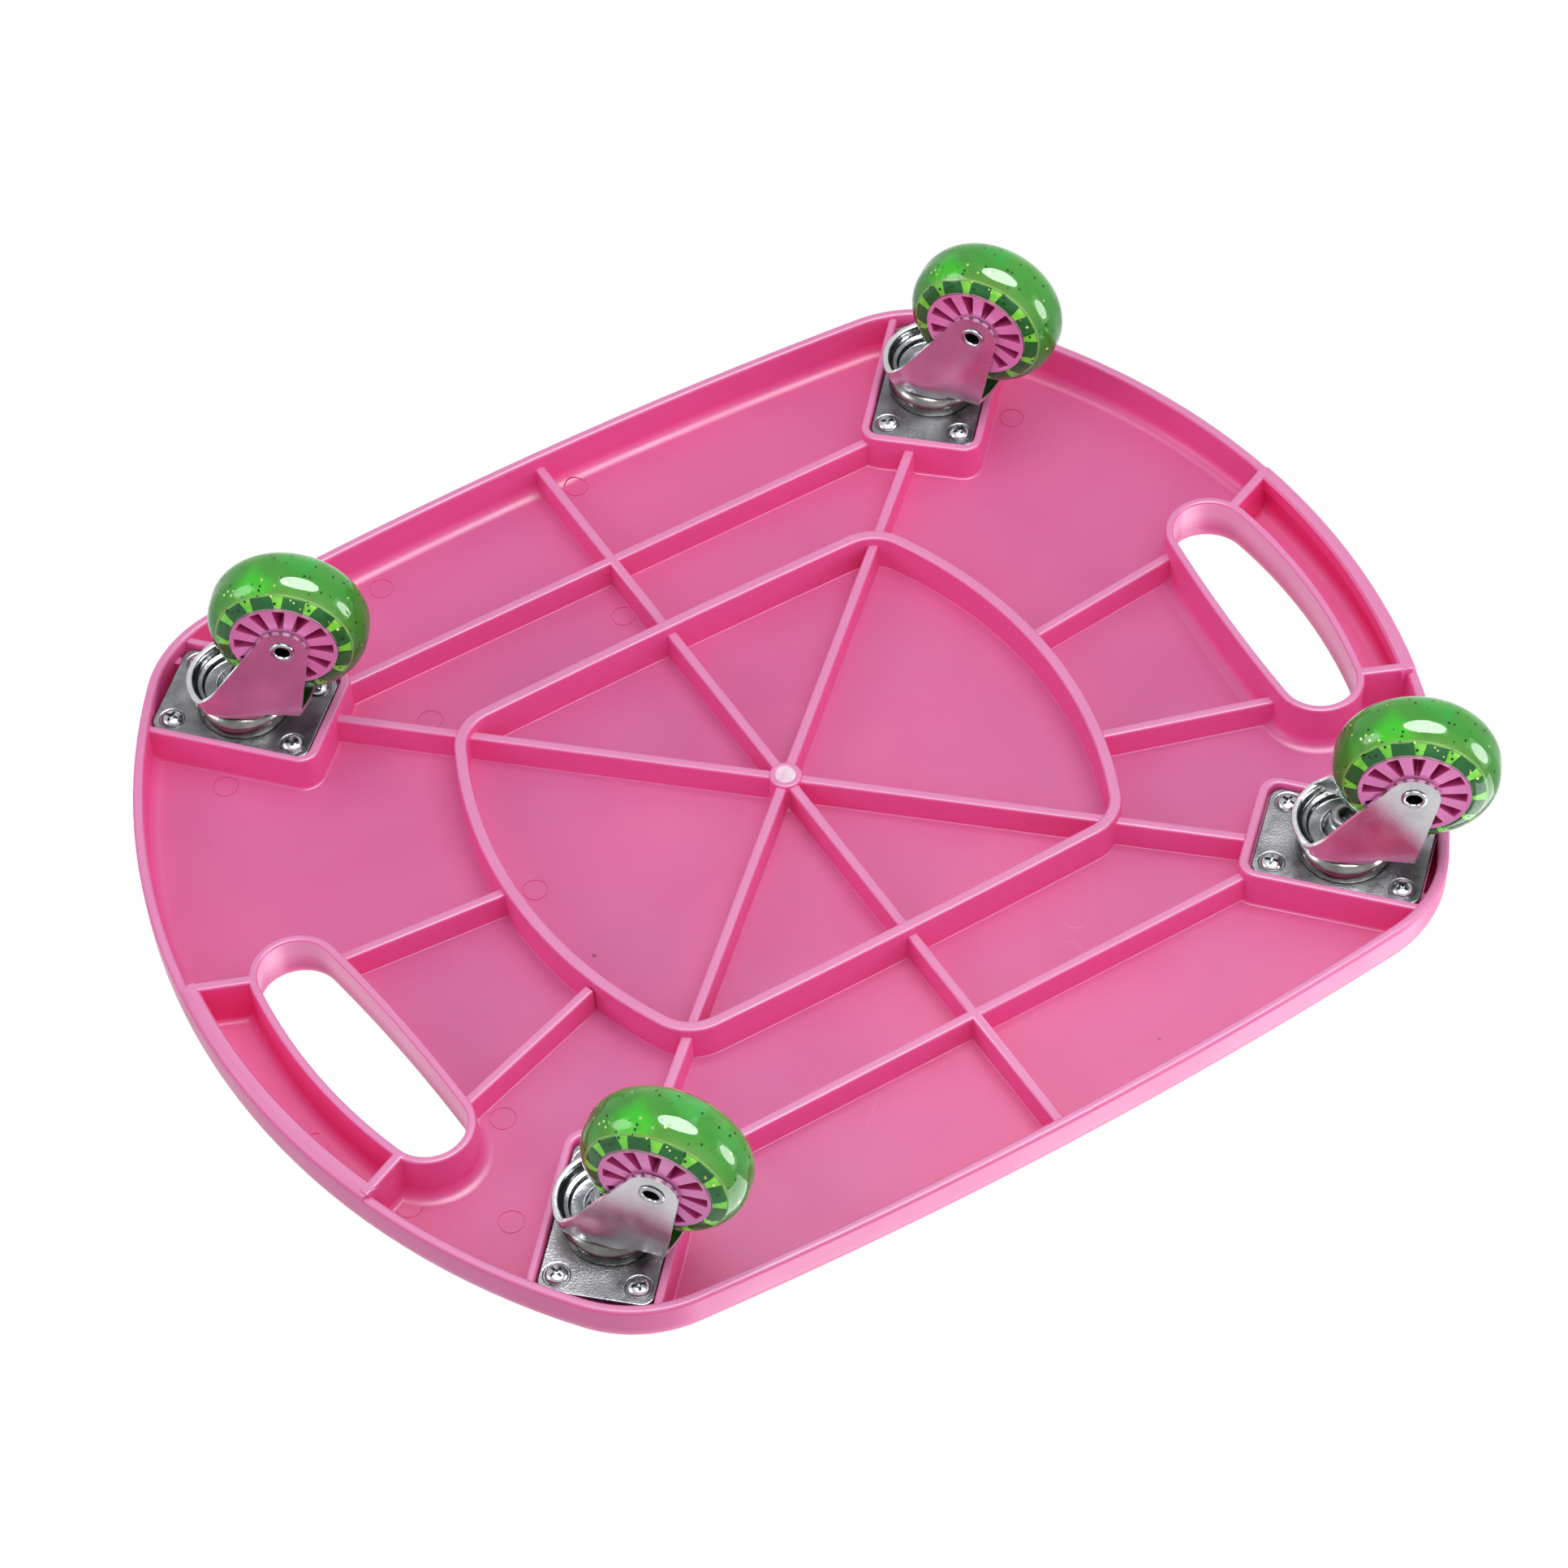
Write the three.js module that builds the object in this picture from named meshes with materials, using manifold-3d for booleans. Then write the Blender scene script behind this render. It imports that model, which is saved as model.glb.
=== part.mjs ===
// Scooter board: a ribbed moulded deck with two hand slots, on four swivelling plate casters
// Millimetres, +Z up. The wheels stand on z = 0, the long side lies along X and the front is +Y.
// The origin is on the ground under the deck's centre.

import * as THREE from "three";
import { mergeVertices } from "three/addons/utils/BufferGeometryUtils.js";
import Module from "manifold-3d";

const wasm = await Module();
wasm.setup();

// Clearances and cutter lengths
const SEAT_GAP = 0.3; // between pieces that rest on each other or sit in each other
const OVERRUN = 1.5; // how far a cutter runs past what it cuts
const SINK = 0.6; // how far a rib or a wall reaches into the panel it stands on

// The wheel: a hub with a cast tyre
const WHEEL = {
  radius: 25.4,
  tyreWidth: 22.8,
  treadFlat: 3,
  sideCentreRadius: 15.5, // the tyre's sides are quarter ellipses that start here, inside the hub
  hubRadius: 17.3,
  hubWidth: 21.6,
  lugRadius: 21.4,
  lugLength: 18,
  lugWidth: 4.6,
  slotInnerRadius: 7.8,
  slotOuterRadius: 15.8,
  slotInnerWidth: 1.7,
  slotOuterWidth: 4,
  slotDepth: 6,
};
const SPOKE_COUNT = 12;

const BEARING = { outerRadius: 6.5, boreRadius: 3, width: 5, recess: 0.5 };
const AXLE = { radius: 2.7, boreRadius: 2, flangeRadius: 4.5, flangeThickness: 0.7 };
const SPACER_RADIUS = 4.2;

// The fork: a pressed cup with two legs, and the trail of its wheel
const FORK = {
  trail: 19,
  sheet: 1.6,
  legThickness: 1.3,
  legTipRadius: 8,
  toeReach: 9,
  heelReach: 21.5,
  heelBow: 2.5, // how far the top plate's edge bows out between the heels
  heelDrop: 3.5, // how far below the cup's floor the heel's corner is
  cupRimRadius: 17.3,
  cupRimDrop: 6.5,
  cupFloorRadius: 12.3,
  coneFootRadius: 8.2,
  coneTopRadius: 5,
  coneDrop: 6.2,
};

const KINGPIN = {
  radius: 3,
  headRadius: 5.1,
  headHeight: 1.9,
  socketRadius: 2.4,
  socketDepth: 3,
  footHeight: 1.5,
};
const RACE = { outerRadius: 15.3, innerRadius: 8.5, height: 6.6, shoulderHeight: 3.6, shoulderRadius: 12.6 };
const PLATE = {
  length: 53,
  width: 35,
  thickness: 2,
  cornerRadius: 4,
  holeSpacingLong: 41,
  holeSpacingWide: 24.5,
};
const SCREW = { radius: 1.9, headRadius: 3.5, headHeight: 1.2, crownRadius: 2.2, length: 11, tip: 1.6 };
const AXLE_TO_PLATE = 41.4; // from the axle up to the plate's underside

// The deck: outlines in plan
const BOARD = { halfLength: 203, halfWidth: 162, endRadius: 228, sideRadius: 1500, cornerRadius: 44 };
const RING_WALL = 4;
const RING_INSET = { end: 104.5, side: 87 }; // from the deck's outline in to the ring's
const RING = {
  halfLength: BOARD.halfLength - RING_INSET.end,
  halfWidth: BOARD.halfWidth - RING_INSET.side,
  endRadius: 150,
  sideRadius: 4000,
  cornerRadius: 17,
};

// The hand slot: round ends, joined by two bowed sides. An inset runs in from the deck's end.
const SLOT_INSET = { near: 34.5, far: 41.5 };
const SLOT = {
  nearX: BOARD.halfLength - SLOT_INSET.near,
  nearY: -9.3,
  farX: BOARD.halfLength - SLOT_INSET.far,
  farY: 61.3,
  endRadius: 12,
  outerSideRadius: 182,
  innerSideRadius: 585,
  wall: 2.7,
  edgeRadius: 8,
};

// Where the casters stand by the centre of the deck's round corner, and how they are turned
const CORNER_CENTRE = cornerCentre(BOARD);
const CASTER_OFFSET = { x: 10.81, y: 5.469 };
const CASTER_X = CORNER_CENTRE.x + CASTER_OFFSET.x;
const CASTER_Y = CORNER_CENTRE.y + CASTER_OFFSET.y;
const PLATE_TURN_DEGREES = 47.3;
const CORNERS = [
  { name: "rear_left", sideX: -1, sideY: -1, swivelDegrees: 37 },
  { name: "rear_right", sideX: 1, sideY: -1, swivelDegrees: 54.5 },
  { name: "front_right", sideX: 1, sideY: 1, swivelDegrees: 39.5 },
  { name: "front_left", sideX: -1, sideY: 1, swivelDegrees: 50.5 },
];

// The deck: walls and depths. A drop is how far an edge lies below the ribs' edges.
const DECK = {
  panel: 3.2,
  ribDepth: 10,
  rimWall: 3.4,
  rimDrop: 5,
  topEdgeRadius: 10,
  coveRadius: 5.5,
  ribWidth: 3.5,
  longRibInset: 52, // from the deck's side in to the ribs along it
  ringDrop: 3.3,
  slotDrop: 7,
  centreBossRadius: 6.2,
  centreBossDrop: 0.6,
};

// The deck: the box round each caster's plate, with its pad and screw holes
const BOSS = {
  drop: 3.5,
  endRoom: 0.8, // between the plate and the wall at its inner end
  sideRoom: 0.4, // between the plate and the walls beside it
  endWall: 3.2,
  sideWall: 2.7,
  outerCorner: 6.5,
  innerCorner: 4,
  padRecess: 0.7, // how far the pad's face lies above the ribs' edges
  pocketLength: 28,
  pocketWidth: 16,
  pocketDepth: 6,
  screwHoleRadius: 2.3,
};
const BOSS_REACH = PLATE.length / 2 + BOSS.endRoom + BOSS.endWall;
const BOSS_HALF_WIDTH = PLATE.width / 2 + BOSS.sideRoom + BOSS.sideWall;
const DIAGONAL_END_OFFSET = 2.95; // how far beside the boss's middle a diagonal rib meets it

// The deck: the pocket between each hand slot and the rim
const POCKET_INSET = { near: 7, far: 17 };
const POCKET = {
  wall: 2.5,
  nearX: BOARD.halfLength - POCKET_INSET.near,
  nearY: -20.5,
  farX: BOARD.halfLength - POCKET_INSET.far,
  farY: 72,
};

// The deck: the ribs from the ring's end to the slot. Insets run in from both.
const HANDLE_RIBS = [
  { ringInset: 2, ringY: -7.5, slotX: SLOT.nearX, slotInset: 13, slotY: -12.4 },
  { ringInset: 4.5, ringY: 39.3, slotX: SLOT.farX, slotInset: 12, slotY: 57.2 },
];

// How many flat steps stand for each curve
const COUNTS = {
  endArc: 4,
  cornerArc: 5,
  sideArc: 2,
  edge: 3,
  slotEnd: 4,
  slotSide: 3,
  bossCorner: 1,
  sheetArc: 4,
  round: 14,
  heelEdge: 56,
  wheel: 20,
  tyreSide: 3,
  small: 9,
};

// Levels, from the ground up
const AXLE_Z = WHEEL.radius;
const PLATE_FACE_Z = AXLE_Z + AXLE_TO_PLATE;
const PLATE_TOP_Z = PLATE_FACE_Z + PLATE.thickness;
const PAD_Z = PLATE_TOP_Z + SEAT_GAP;
const RIB_EDGE_Z = PAD_Z - BOSS.padRecess;
const PANEL_Z = RIB_EDGE_Z + DECK.ribDepth;
const TOP_Z = PANEL_Z + DECK.panel;
const RIM_LIP_Z = RIB_EDGE_Z - DECK.rimDrop;
const SLOT_LIP_Z = RIB_EDGE_Z - DECK.slotDrop;
const RACE_Z = PLATE_FACE_Z - SEAT_GAP;
const CUP_Z = RACE_Z - RACE.height - SEAT_GAP;

// Materials
const MATERIALS = {
  plastic: new THREE.MeshStandardMaterial({ color: 0xdd6aa3, roughness: 0.42 }),
  hub: new THREE.MeshStandardMaterial({ color: 0xd870b4, roughness: 0.4 }),
  tyre: new THREE.MeshStandardMaterial({ color: 0x3aa43c, roughness: 0.15 }),
  plate: new THREE.MeshStandardMaterial({ color: 0x7c7f86, roughness: 0.35, metalness: 1 }),
  chrome: new THREE.MeshStandardMaterial({ color: 0xc9ccd0, roughness: 0.12, metalness: 1 }),
  steel: new THREE.MeshStandardMaterial({ color: 0x9a9da2, roughness: 0.25, metalness: 1 }),
};

// Solids and meshes

// A geometry with shared corners and without the slivers that a lathe leaves on its axis
function welded(geometry) {
  geometry.deleteAttribute("normal");
  geometry.deleteAttribute("uv");
  const merged = mergeVertices(geometry);
  const index = merged.getIndex().array;
  const kept = [];
  for (let i = 0; i < index.length; i += 3) {
    const [a, b, c] = [index[i], index[i + 1], index[i + 2]];
    if (a !== b && b !== c && c !== a) kept.push(a, b, c);
  }
  merged.setIndex(kept);
  return merged;
}

function solid(geometry) {
  const closed = welded(geometry);
  const vertProperties = new Float32Array(closed.getAttribute("position").array);
  const triVerts = new Uint32Array(closed.getIndex().array);
  return new wasm.Manifold(new wasm.Mesh({ numProp: 3, vertProperties, triVerts }));
}

function join(solids) {
  return solids.reduce((whole, piece) => whole.add(piece));
}

function geometryOf(manifold) {
  const { vertProperties, triVerts } = manifold.getMesh();
  const geometry = new THREE.BufferGeometry();
  geometry.setAttribute("position", new THREE.BufferAttribute(vertProperties, 3));
  geometry.setIndex(new THREE.BufferAttribute(triVerts, 1));
  geometry.computeVertexNormals();
  return geometry;
}

function meshOf(name, geometry, material) {
  const mesh = new THREE.Mesh(geometry, material);
  mesh.name = name;
  return mesh;
}

// A ring or a disc turned about Y. The profile is a loop of [radius, height], outer side going up.
function turned(profile, segments) {
  const points = profile.map(([radius, height]) => new THREE.Vector2(radius, height));
  if (profile[0][0] > 0) points.push(points[0].clone());
  return welded(new THREE.LatheGeometry(points, segments));
}

// The same turned about Z
function turnedUpright(profile, segments) {
  return turned(profile, segments).rotateX(Math.PI / 2);
}

function extruded(shape, height, level, steps) {
  const options = { depth: height, bevelEnabled: false, curveSegments: steps };
  return new THREE.ExtrudeGeometry(shape, options).translate(0, 0, level);
}

// A straight wall from one point in plan to another, between two levels
function bar(from, to, width, bottom, top) {
  const along = to.clone().sub(from);
  const middle = from.clone().add(to).multiplyScalar(0.5);
  const box = new THREE.BoxGeometry(along.length(), width, top - bottom);
  box.rotateZ(along.angle());
  return solid(box.translate(middle.x, middle.y, (bottom + top) / 2));
}

// Outlines in plan

function arcPoints(centre, radius, from, to, steps) {
  const sweep = to < from ? to + 2 * Math.PI - from : to - from;
  return Array.from({ length: steps }, (_, i) => {
    const angle = from + (sweep * i) / steps;
    return new THREE.Vector2(centre.x + radius * Math.cos(angle), centre.y + radius * Math.sin(angle));
  });
}

// Where two circles meet, on the left of the line from the first centre to the second
function circlesMeet(first, firstRadius, second, secondRadius) {
  const line = second.clone().sub(first);
  const apart = line.length();
  const along = (apart * apart + firstRadius * firstRadius - secondRadius * secondRadius) / (2 * apart);
  const aside = Math.sqrt(firstRadius * firstRadius - along * along);
  const unit = line.divideScalar(apart);
  return new THREE.Vector2(
    first.x + unit.x * along - unit.y * aside,
    first.y + unit.y * along + unit.x * aside,
  );
}

// The centre of an oblong's round corner
function cornerCentre({ halfLength, halfWidth, endRadius, sideRadius, cornerRadius }) {
  const end = new THREE.Vector2(halfLength - endRadius, 0);
  const side = new THREE.Vector2(0, halfWidth - sideRadius);
  return circlesMeet(end, endRadius - cornerRadius, side, sideRadius - cornerRadius);
}

// An oblong with bowed ends and sides and round corners, grown outwards by offset
function oblong(outline, offset) {
  const { halfLength, halfWidth, endRadius, sideRadius, cornerRadius } = outline;
  const end = new THREE.Vector2(halfLength - endRadius, 0);
  const side = new THREE.Vector2(0, halfWidth - sideRadius);
  const corner = cornerCentre(outline);
  const endTurn = corner.clone().sub(end).angle();
  const sideTurn = corner.clone().sub(side).angle();
  const quarter = [
    ...arcPoints(end, endRadius + offset, 0, endTurn, COUNTS.endArc),
    ...arcPoints(corner, cornerRadius + offset, endTurn, sideTurn, COUNTS.cornerArc),
    ...arcPoints(side, sideRadius + offset, sideTurn, Math.PI / 2, COUNTS.sideArc),
    new THREE.Vector2(0, halfWidth + offset),
  ];
  const left = quarter.slice(0, -1).reverse().map((p) => new THREE.Vector2(-p.x, p.y));
  const upper = [...quarter, ...left];
  const lower = upper.slice(1, -1).map((p) => new THREE.Vector2(-p.x, -p.y));
  return [...upper, ...lower];
}

// The hand slot on the right side, grown outwards by offset
function slotOutline(offset) {
  const near = new THREE.Vector2(SLOT.nearX, SLOT.nearY);
  const far = new THREE.Vector2(SLOT.farX, SLOT.farY);
  const outerSpan = SLOT.outerSideRadius - SLOT.endRadius;
  const innerSpan = SLOT.innerSideRadius - SLOT.endRadius;
  const outer = circlesMeet(near, outerSpan, far, outerSpan);
  const inner = circlesMeet(far, innerSpan, near, innerSpan);
  const turn = (point, centre) => point.clone().sub(centre).angle();
  return [
    ...arcPoints(outer, SLOT.outerSideRadius + offset, turn(near, outer), turn(far, outer), COUNTS.slotSide),
    ...arcPoints(far, SLOT.endRadius + offset, turn(far, outer), turn(far, inner), COUNTS.slotEnd),
    ...arcPoints(inner, SLOT.innerSideRadius + offset, turn(far, inner), turn(near, inner), COUNTS.slotSide),
    ...arcPoints(near, SLOT.endRadius + offset, turn(near, inner), turn(near, outer), COUNTS.slotEnd),
  ];
}

// An outline that is mirrored to the left side keeps running anticlockwise
function onSide(points, side) {
  if (side > 0) return points;
  return points.map((p) => new THREE.Vector2(-p.x, p.y)).reverse();
}

// A closed solid through a stack of outlines with as many points each, from the lowest up
function stacked(layers) {
  const count = layers[0].points.length;
  const positions = layers.flatMap(({ points, level }) => points.flatMap((p) => [p.x, p.y, level]));
  const index = [];
  for (let layer = 0; layer + 1 < layers.length; layer += 1) {
    for (let i = 0; i < count; i += 1) {
      const here = layer * count + i;
      const next = layer * count + ((i + 1) % count);
      index.push(here, next, next + count, here, next + count, here + count);
    }
  }
  const last = (layers.length - 1) * count;
  for (const [a, b, c] of THREE.ShapeUtils.triangulateShape(layers[0].points, [])) {
    index.push(a, c, b, last + a, last + b, last + c);
  }
  const geometry = new THREE.BufferGeometry();
  geometry.setAttribute("position", new THREE.Float32BufferAttribute(positions, 3));
  geometry.setIndex(index);
  return solid(geometry);
}

// A straight-sided stack whose top edge turns in (bend -1) or flares out (bend 1) along a quarter circle
function rounded(outlineAt, bottom, top, radius, bend, above) {
  const layers = [{ points: outlineAt(0), level: bottom }];
  for (let i = 0; i <= COUNTS.edge; i += 1) {
    const angle = (Math.PI / 2) * (i / COUNTS.edge);
    const offset = bend * radius * (1 - Math.cos(angle));
    layers.push({ points: outlineAt(offset), level: top - radius + radius * Math.sin(angle) });
  }
  if (above > 0) layers.push({ points: outlineAt(bend * radius), level: top + above });
  return stacked(layers);
}

// The deck

function boardBody(bottom) {
  return rounded((offset) => oblong(BOARD, offset), bottom, TOP_Z, DECK.topEdgeRadius, -1, 0);
}

function deckShell() {
  const inside = (offset) => oblong(BOARD, offset - DECK.rimWall);
  const cavity = rounded(inside, RIM_LIP_Z - OVERRUN, PANEL_Z, DECK.coveRadius, -1, 0);
  return boardBody(RIM_LIP_Z).subtract(cavity);
}

// A direction in a corner's frame: out towards the corner, and to its side
function cornerPoint({ sideX, sideY }, out, aside) {
  const turn = THREE.MathUtils.degToRad(PLATE_TURN_DEGREES);
  const x = CASTER_X + out * Math.cos(turn) - aside * Math.sin(turn);
  const y = CASTER_Y + out * Math.sin(turn) + aside * Math.cos(turn);
  return new THREE.Vector2(sideX * x, sideY * y);
}

function cornerTurn({ sideX, sideY }) {
  const turn = THREE.MathUtils.degToRad(PLATE_TURN_DEGREES);
  return Math.atan2(sideY * Math.sin(turn), sideX * Math.cos(turn));
}

function roundedRectangle(left, right, halfWidth, radius) {
  const shape = new THREE.Shape();
  shape.moveTo(left + radius, -halfWidth);
  shape.lineTo(right - radius, -halfWidth);
  shape.absarc(right - radius, -halfWidth + radius, radius, -Math.PI / 2, 0, false);
  shape.lineTo(right, halfWidth - radius);
  shape.absarc(right - radius, halfWidth - radius, radius, 0, Math.PI / 2, false);
  shape.lineTo(left + radius, halfWidth);
  shape.absarc(left + radius, halfWidth - radius, radius, Math.PI / 2, Math.PI, false);
  shape.lineTo(left, -halfWidth + radius);
  shape.absarc(left + radius, -halfWidth + radius, radius, Math.PI, 1.5 * Math.PI, false);
  return shape;
}

function atCorner(geometry, corner) {
  const centre = cornerPoint(corner, 0, 0);
  return geometry.rotateZ(cornerTurn(corner)).translate(centre.x, centre.y, 0);
}

// The room inside a boss, open out to the rim
function bossRoom(corner, bottom, top) {
  const left = BOSS.endWall - BOSS_REACH;
  const shape = roundedRectangle(left, PLATE.length, BOSS_HALF_WIDTH - BOSS.sideWall, BOSS.innerCorner);
  return solid(atCorner(extruded(shape, top - bottom, bottom, COUNTS.bossCorner), corner));
}

function bossWalls(corner) {
  const bottom = RIB_EDGE_Z - BOSS.drop;
  const top = PANEL_Z + SINK;
  const shape = roundedRectangle(-BOSS_REACH, PLATE.length, BOSS_HALF_WIDTH, BOSS.outerCorner);
  const block = solid(atCorner(extruded(shape, top - bottom, bottom, COUNTS.bossCorner), corner));
  return block.subtract(bossRoom(corner, bottom - OVERRUN, top + OVERRUN));
}

function screwPlaces() {
  const places = [];
  for (const out of [-1, 1]) {
    for (const aside of [-1, 1]) {
      places.push({ out: (out * PLATE.holeSpacingLong) / 2, aside: (aside * PLATE.holeSpacingWide) / 2 });
    }
  }
  return places;
}

// The room that the plate needs, where its outer end meets the rim
function plateRoom(corner) {
  const reach = PLATE.length / 2 + BOSS.sideRoom;
  const radius = PLATE.cornerRadius + BOSS.sideRoom;
  const shape = roundedRectangle(-reach, reach, PLATE.width / 2 + BOSS.sideRoom, radius);
  const bottom = RIM_LIP_Z - OVERRUN;
  return solid(atCorner(extruded(shape, PAD_Z - bottom, bottom, COUNTS.bossCorner), corner));
}

// The pad that the plate is screwed to, cored out in the middle where the kingpin's foot lies
function bossPad(corner) {
  const inner = BOSS_REACH - BOSS.endWall + SINK;
  const length = inner + PLATE.length / 2;
  const width = 2 * (BOSS_HALF_WIDTH - BOSS.sideWall + SINK);
  const height = PANEL_Z + SINK - PAD_Z;
  const block = new THREE.BoxGeometry(length, width, height);
  block.translate(length / 2 - inner, 0, PAD_Z + height / 2);
  const pocketHeight = BOSS.pocketDepth + OVERRUN;
  const pocket = new THREE.BoxGeometry(BOSS.pocketLength, BOSS.pocketWidth, pocketHeight);
  pocket.translate(0, 0, PAD_Z - OVERRUN + pocketHeight / 2);
  const pad = solid(atCorner(block, corner)).subtract(solid(atCorner(pocket, corner)));
  const depth = SCREW.length - PLATE.thickness + OVERRUN;
  const holes = screwPlaces().map(({ out, aside }) => {
    const radius = BOSS.screwHoleRadius;
    const hole = new THREE.CylinderGeometry(radius, radius, depth + OVERRUN, COUNTS.small);
    hole.rotateX(Math.PI / 2).translate(out, aside, PAD_Z + (depth - OVERRUN) / 2);
    return solid(atCorner(hole, corner));
  });
  return pad.subtract(join(holes));
}

function deckRibs() {
  const top = PANEL_Z + SINK;
  const rib = (from, to) => bar(from, to, DECK.ribWidth, RIB_EDGE_Z, top);
  const point = (x, y) => new THREE.Vector2(x, y);
  const ribs = [rib(point(0, -BOARD.halfWidth), point(0, BOARD.halfWidth))];
  const longEnd = CASTER_X - BOSS_REACH;
  const longRibY = BOARD.halfWidth - DECK.longRibInset;
  for (const side of [-1, 1]) {
    ribs.push(rib(point(-longEnd, side * longRibY), point(longEnd, side * longRibY)));
    for (const { ringInset, ringY, slotX, slotInset, slotY } of HANDLE_RIBS) {
      const start = point(side * (RING.halfLength - ringInset), ringY);
      ribs.push(rib(start, point(side * (slotX - slotInset), slotY)));
    }
  }
  const meet = BOSS.endWall / 2 - BOSS_REACH;
  for (const corner of CORNERS) ribs.push(rib(point(0, 0), cornerPoint(corner, meet, DIAGONAL_END_OFFSET)));
  return join(ribs);
}

function centreBoss() {
  const height = DECK.ribDepth + DECK.centreBossDrop + SINK;
  const boss = new THREE.CylinderGeometry(DECK.centreBossRadius, DECK.centreBossRadius, height, COUNTS.round);
  return solid(boss.rotateX(Math.PI / 2).translate(0, 0, PANEL_Z + SINK - height / 2));
}

function ringWall() {
  const bottom = RIB_EDGE_Z - DECK.ringDrop;
  const top = PANEL_Z + SINK;
  const between = (offset, low, high) =>
    stacked([
      { points: oblong(RING, offset), level: low },
      { points: oblong(RING, offset), level: high },
    ]);
  return between(0, bottom, top).subtract(between(-RING_WALL, bottom - OVERRUN, top + OVERRUN));
}

function slotWall(side) {
  const outline = (offset) => onSide(slotOutline(SLOT.wall + offset), side);
  return rounded(outline, SLOT_LIP_Z, PANEL_Z, DECK.coveRadius, 1, SINK);
}

function slotOpening(side) {
  const outline = (offset) => onSide(slotOutline(offset), side);
  return rounded(outline, SLOT_LIP_Z - OVERRUN, TOP_Z, SLOT.edgeRadius, 1, OVERRUN);
}

// Two walls close the pocket beside the slot, and the rim stands taller between them
function pocketWalls(side) {
  const top = PANEL_Z + SINK;
  const ends = [
    [new THREE.Vector2(side * SLOT.nearX, SLOT.nearY), new THREE.Vector2(side * POCKET.nearX, POCKET.nearY)],
    [new THREE.Vector2(side * SLOT.farX, SLOT.farY), new THREE.Vector2(side * POCKET.farX, POCKET.farY)],
  ];
  return ends.map(([from, to]) => {
    const beyond = to.clone().sub(from).setLength(DECK.rimWall).add(to);
    return bar(from, beyond, POCKET.wall, SLOT_LIP_Z, top);
  });
}

function raisedRim(side) {
  const bottom = SLOT_LIP_Z;
  const top = RIM_LIP_Z + SINK;
  const between = (offset, low, high) =>
    stacked([
      { points: oblong(BOARD, offset), level: low },
      { points: oblong(BOARD, offset), level: high },
    ]);
  const band = between(0, bottom, top).subtract(between(-DECK.rimWall, bottom - OVERRUN, top + OVERRUN));
  const x = side * BOARD.halfLength;
  const reach = 2 * SLOT_INSET.near;
  const [near, far] = [new THREE.Vector2(x, POCKET.nearY), new THREE.Vector2(x, POCKET.farY)];
  return band.intersect(bar(near, far, reach, bottom, top));
}

function buildDeck() {
  const rooms = join(CORNERS.map((corner) => bossRoom(corner, RIM_LIP_Z - OVERRUN, PANEL_Z)));
  const features = [deckRibs().subtract(rooms), centreBoss(), ringWall()];
  for (const corner of CORNERS) features.push(bossWalls(corner), bossPad(corner));
  for (const side of [-1, 1]) features.push(slotWall(side), ...pocketWalls(side), raisedRim(side));
  const inside = join(features).intersect(boardBody(SLOT_LIP_Z));
  const openings = join([slotOpening(-1), slotOpening(1), ...CORNERS.map(plateRoom)]);
  const deck = deckShell().add(inside).subtract(openings);
  return meshOf("deck", geometryOf(deck), MATERIALS.plastic);
}

// Fixed pieces of a caster, in the plate's own frame with the swivel axis at x = y = 0

function buildPlate(name) {
  const shape = roundedRectangle(-PLATE.length / 2, PLATE.length / 2, PLATE.width / 2, PLATE.cornerRadius);
  const hole = (x, y, radius) => {
    shape.holes.push(new THREE.Path().absarc(x, y, radius, 0, 2 * Math.PI, true));
  };
  for (const { out, aside } of screwPlaces()) hole(out, aside, BOSS.screwHoleRadius);
  hole(0, 0, KINGPIN.radius + SEAT_GAP);
  const plate = extruded(shape, PLATE.thickness, PLATE_FACE_Z, COUNTS.sheetArc);
  return meshOf(`mount_plate_${name}`, welded(plate), MATERIALS.plate);
}

function buildRace(name) {
  const { outerRadius, innerRadius, height, shoulderHeight, shoulderRadius } = RACE;
  const profile = [
    [innerRadius, RACE_Z - height],
    [shoulderRadius, RACE_Z - height],
    [outerRadius, RACE_Z - shoulderHeight],
    [outerRadius, RACE_Z],
    [innerRadius, RACE_Z],
  ];
  return meshOf(`ball_race_${name}`, turnedUpright(profile, COUNTS.round), MATERIALS.steel);
}

function coneTopZ() {
  return CUP_Z - FORK.coneDrop;
}

function buildKingpin(name) {
  const head = coneTopZ() - SEAT_GAP;
  const end = head - KINGPIN.headHeight;
  const foot = PLATE_TOP_Z + SEAT_GAP;
  const profile = [
    [0, end + KINGPIN.socketDepth],
    [KINGPIN.socketRadius, end + KINGPIN.socketDepth],
    [KINGPIN.socketRadius, end],
    [KINGPIN.headRadius, end],
    [KINGPIN.headRadius, head],
    [KINGPIN.radius, head],
    [KINGPIN.radius, foot],
    [KINGPIN.headRadius, foot],
    [KINGPIN.headRadius, foot + KINGPIN.footHeight],
    [0, foot + KINGPIN.footHeight],
  ];
  return meshOf(`kingpin_${name}`, turnedUpright(profile, COUNTS.small), MATERIALS.steel);
}

function buildScrew(name, number, { out, aside }) {
  const seat = PLATE_FACE_Z - SEAT_GAP;
  const profile = [
    [0, seat - SCREW.headHeight],
    [SCREW.crownRadius, seat - SCREW.headHeight],
    [SCREW.headRadius, seat - SCREW.headHeight / 2],
    [SCREW.headRadius, seat],
    [SCREW.radius, seat],
    [SCREW.radius, seat + SCREW.length - SCREW.tip],
    [0, seat + SCREW.length],
  ];
  const mesh = meshOf(`screw_${number}_${name}`, turnedUpright(profile, COUNTS.small), MATERIALS.chrome);
  mesh.position.set(out, aside, 0);
  return mesh;
}

// Turning pieces of a caster. X points along the trail and Y along the axle.

function legInnerFace() {
  return WHEEL.tyreWidth / 2 + SEAT_GAP;
}

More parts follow.
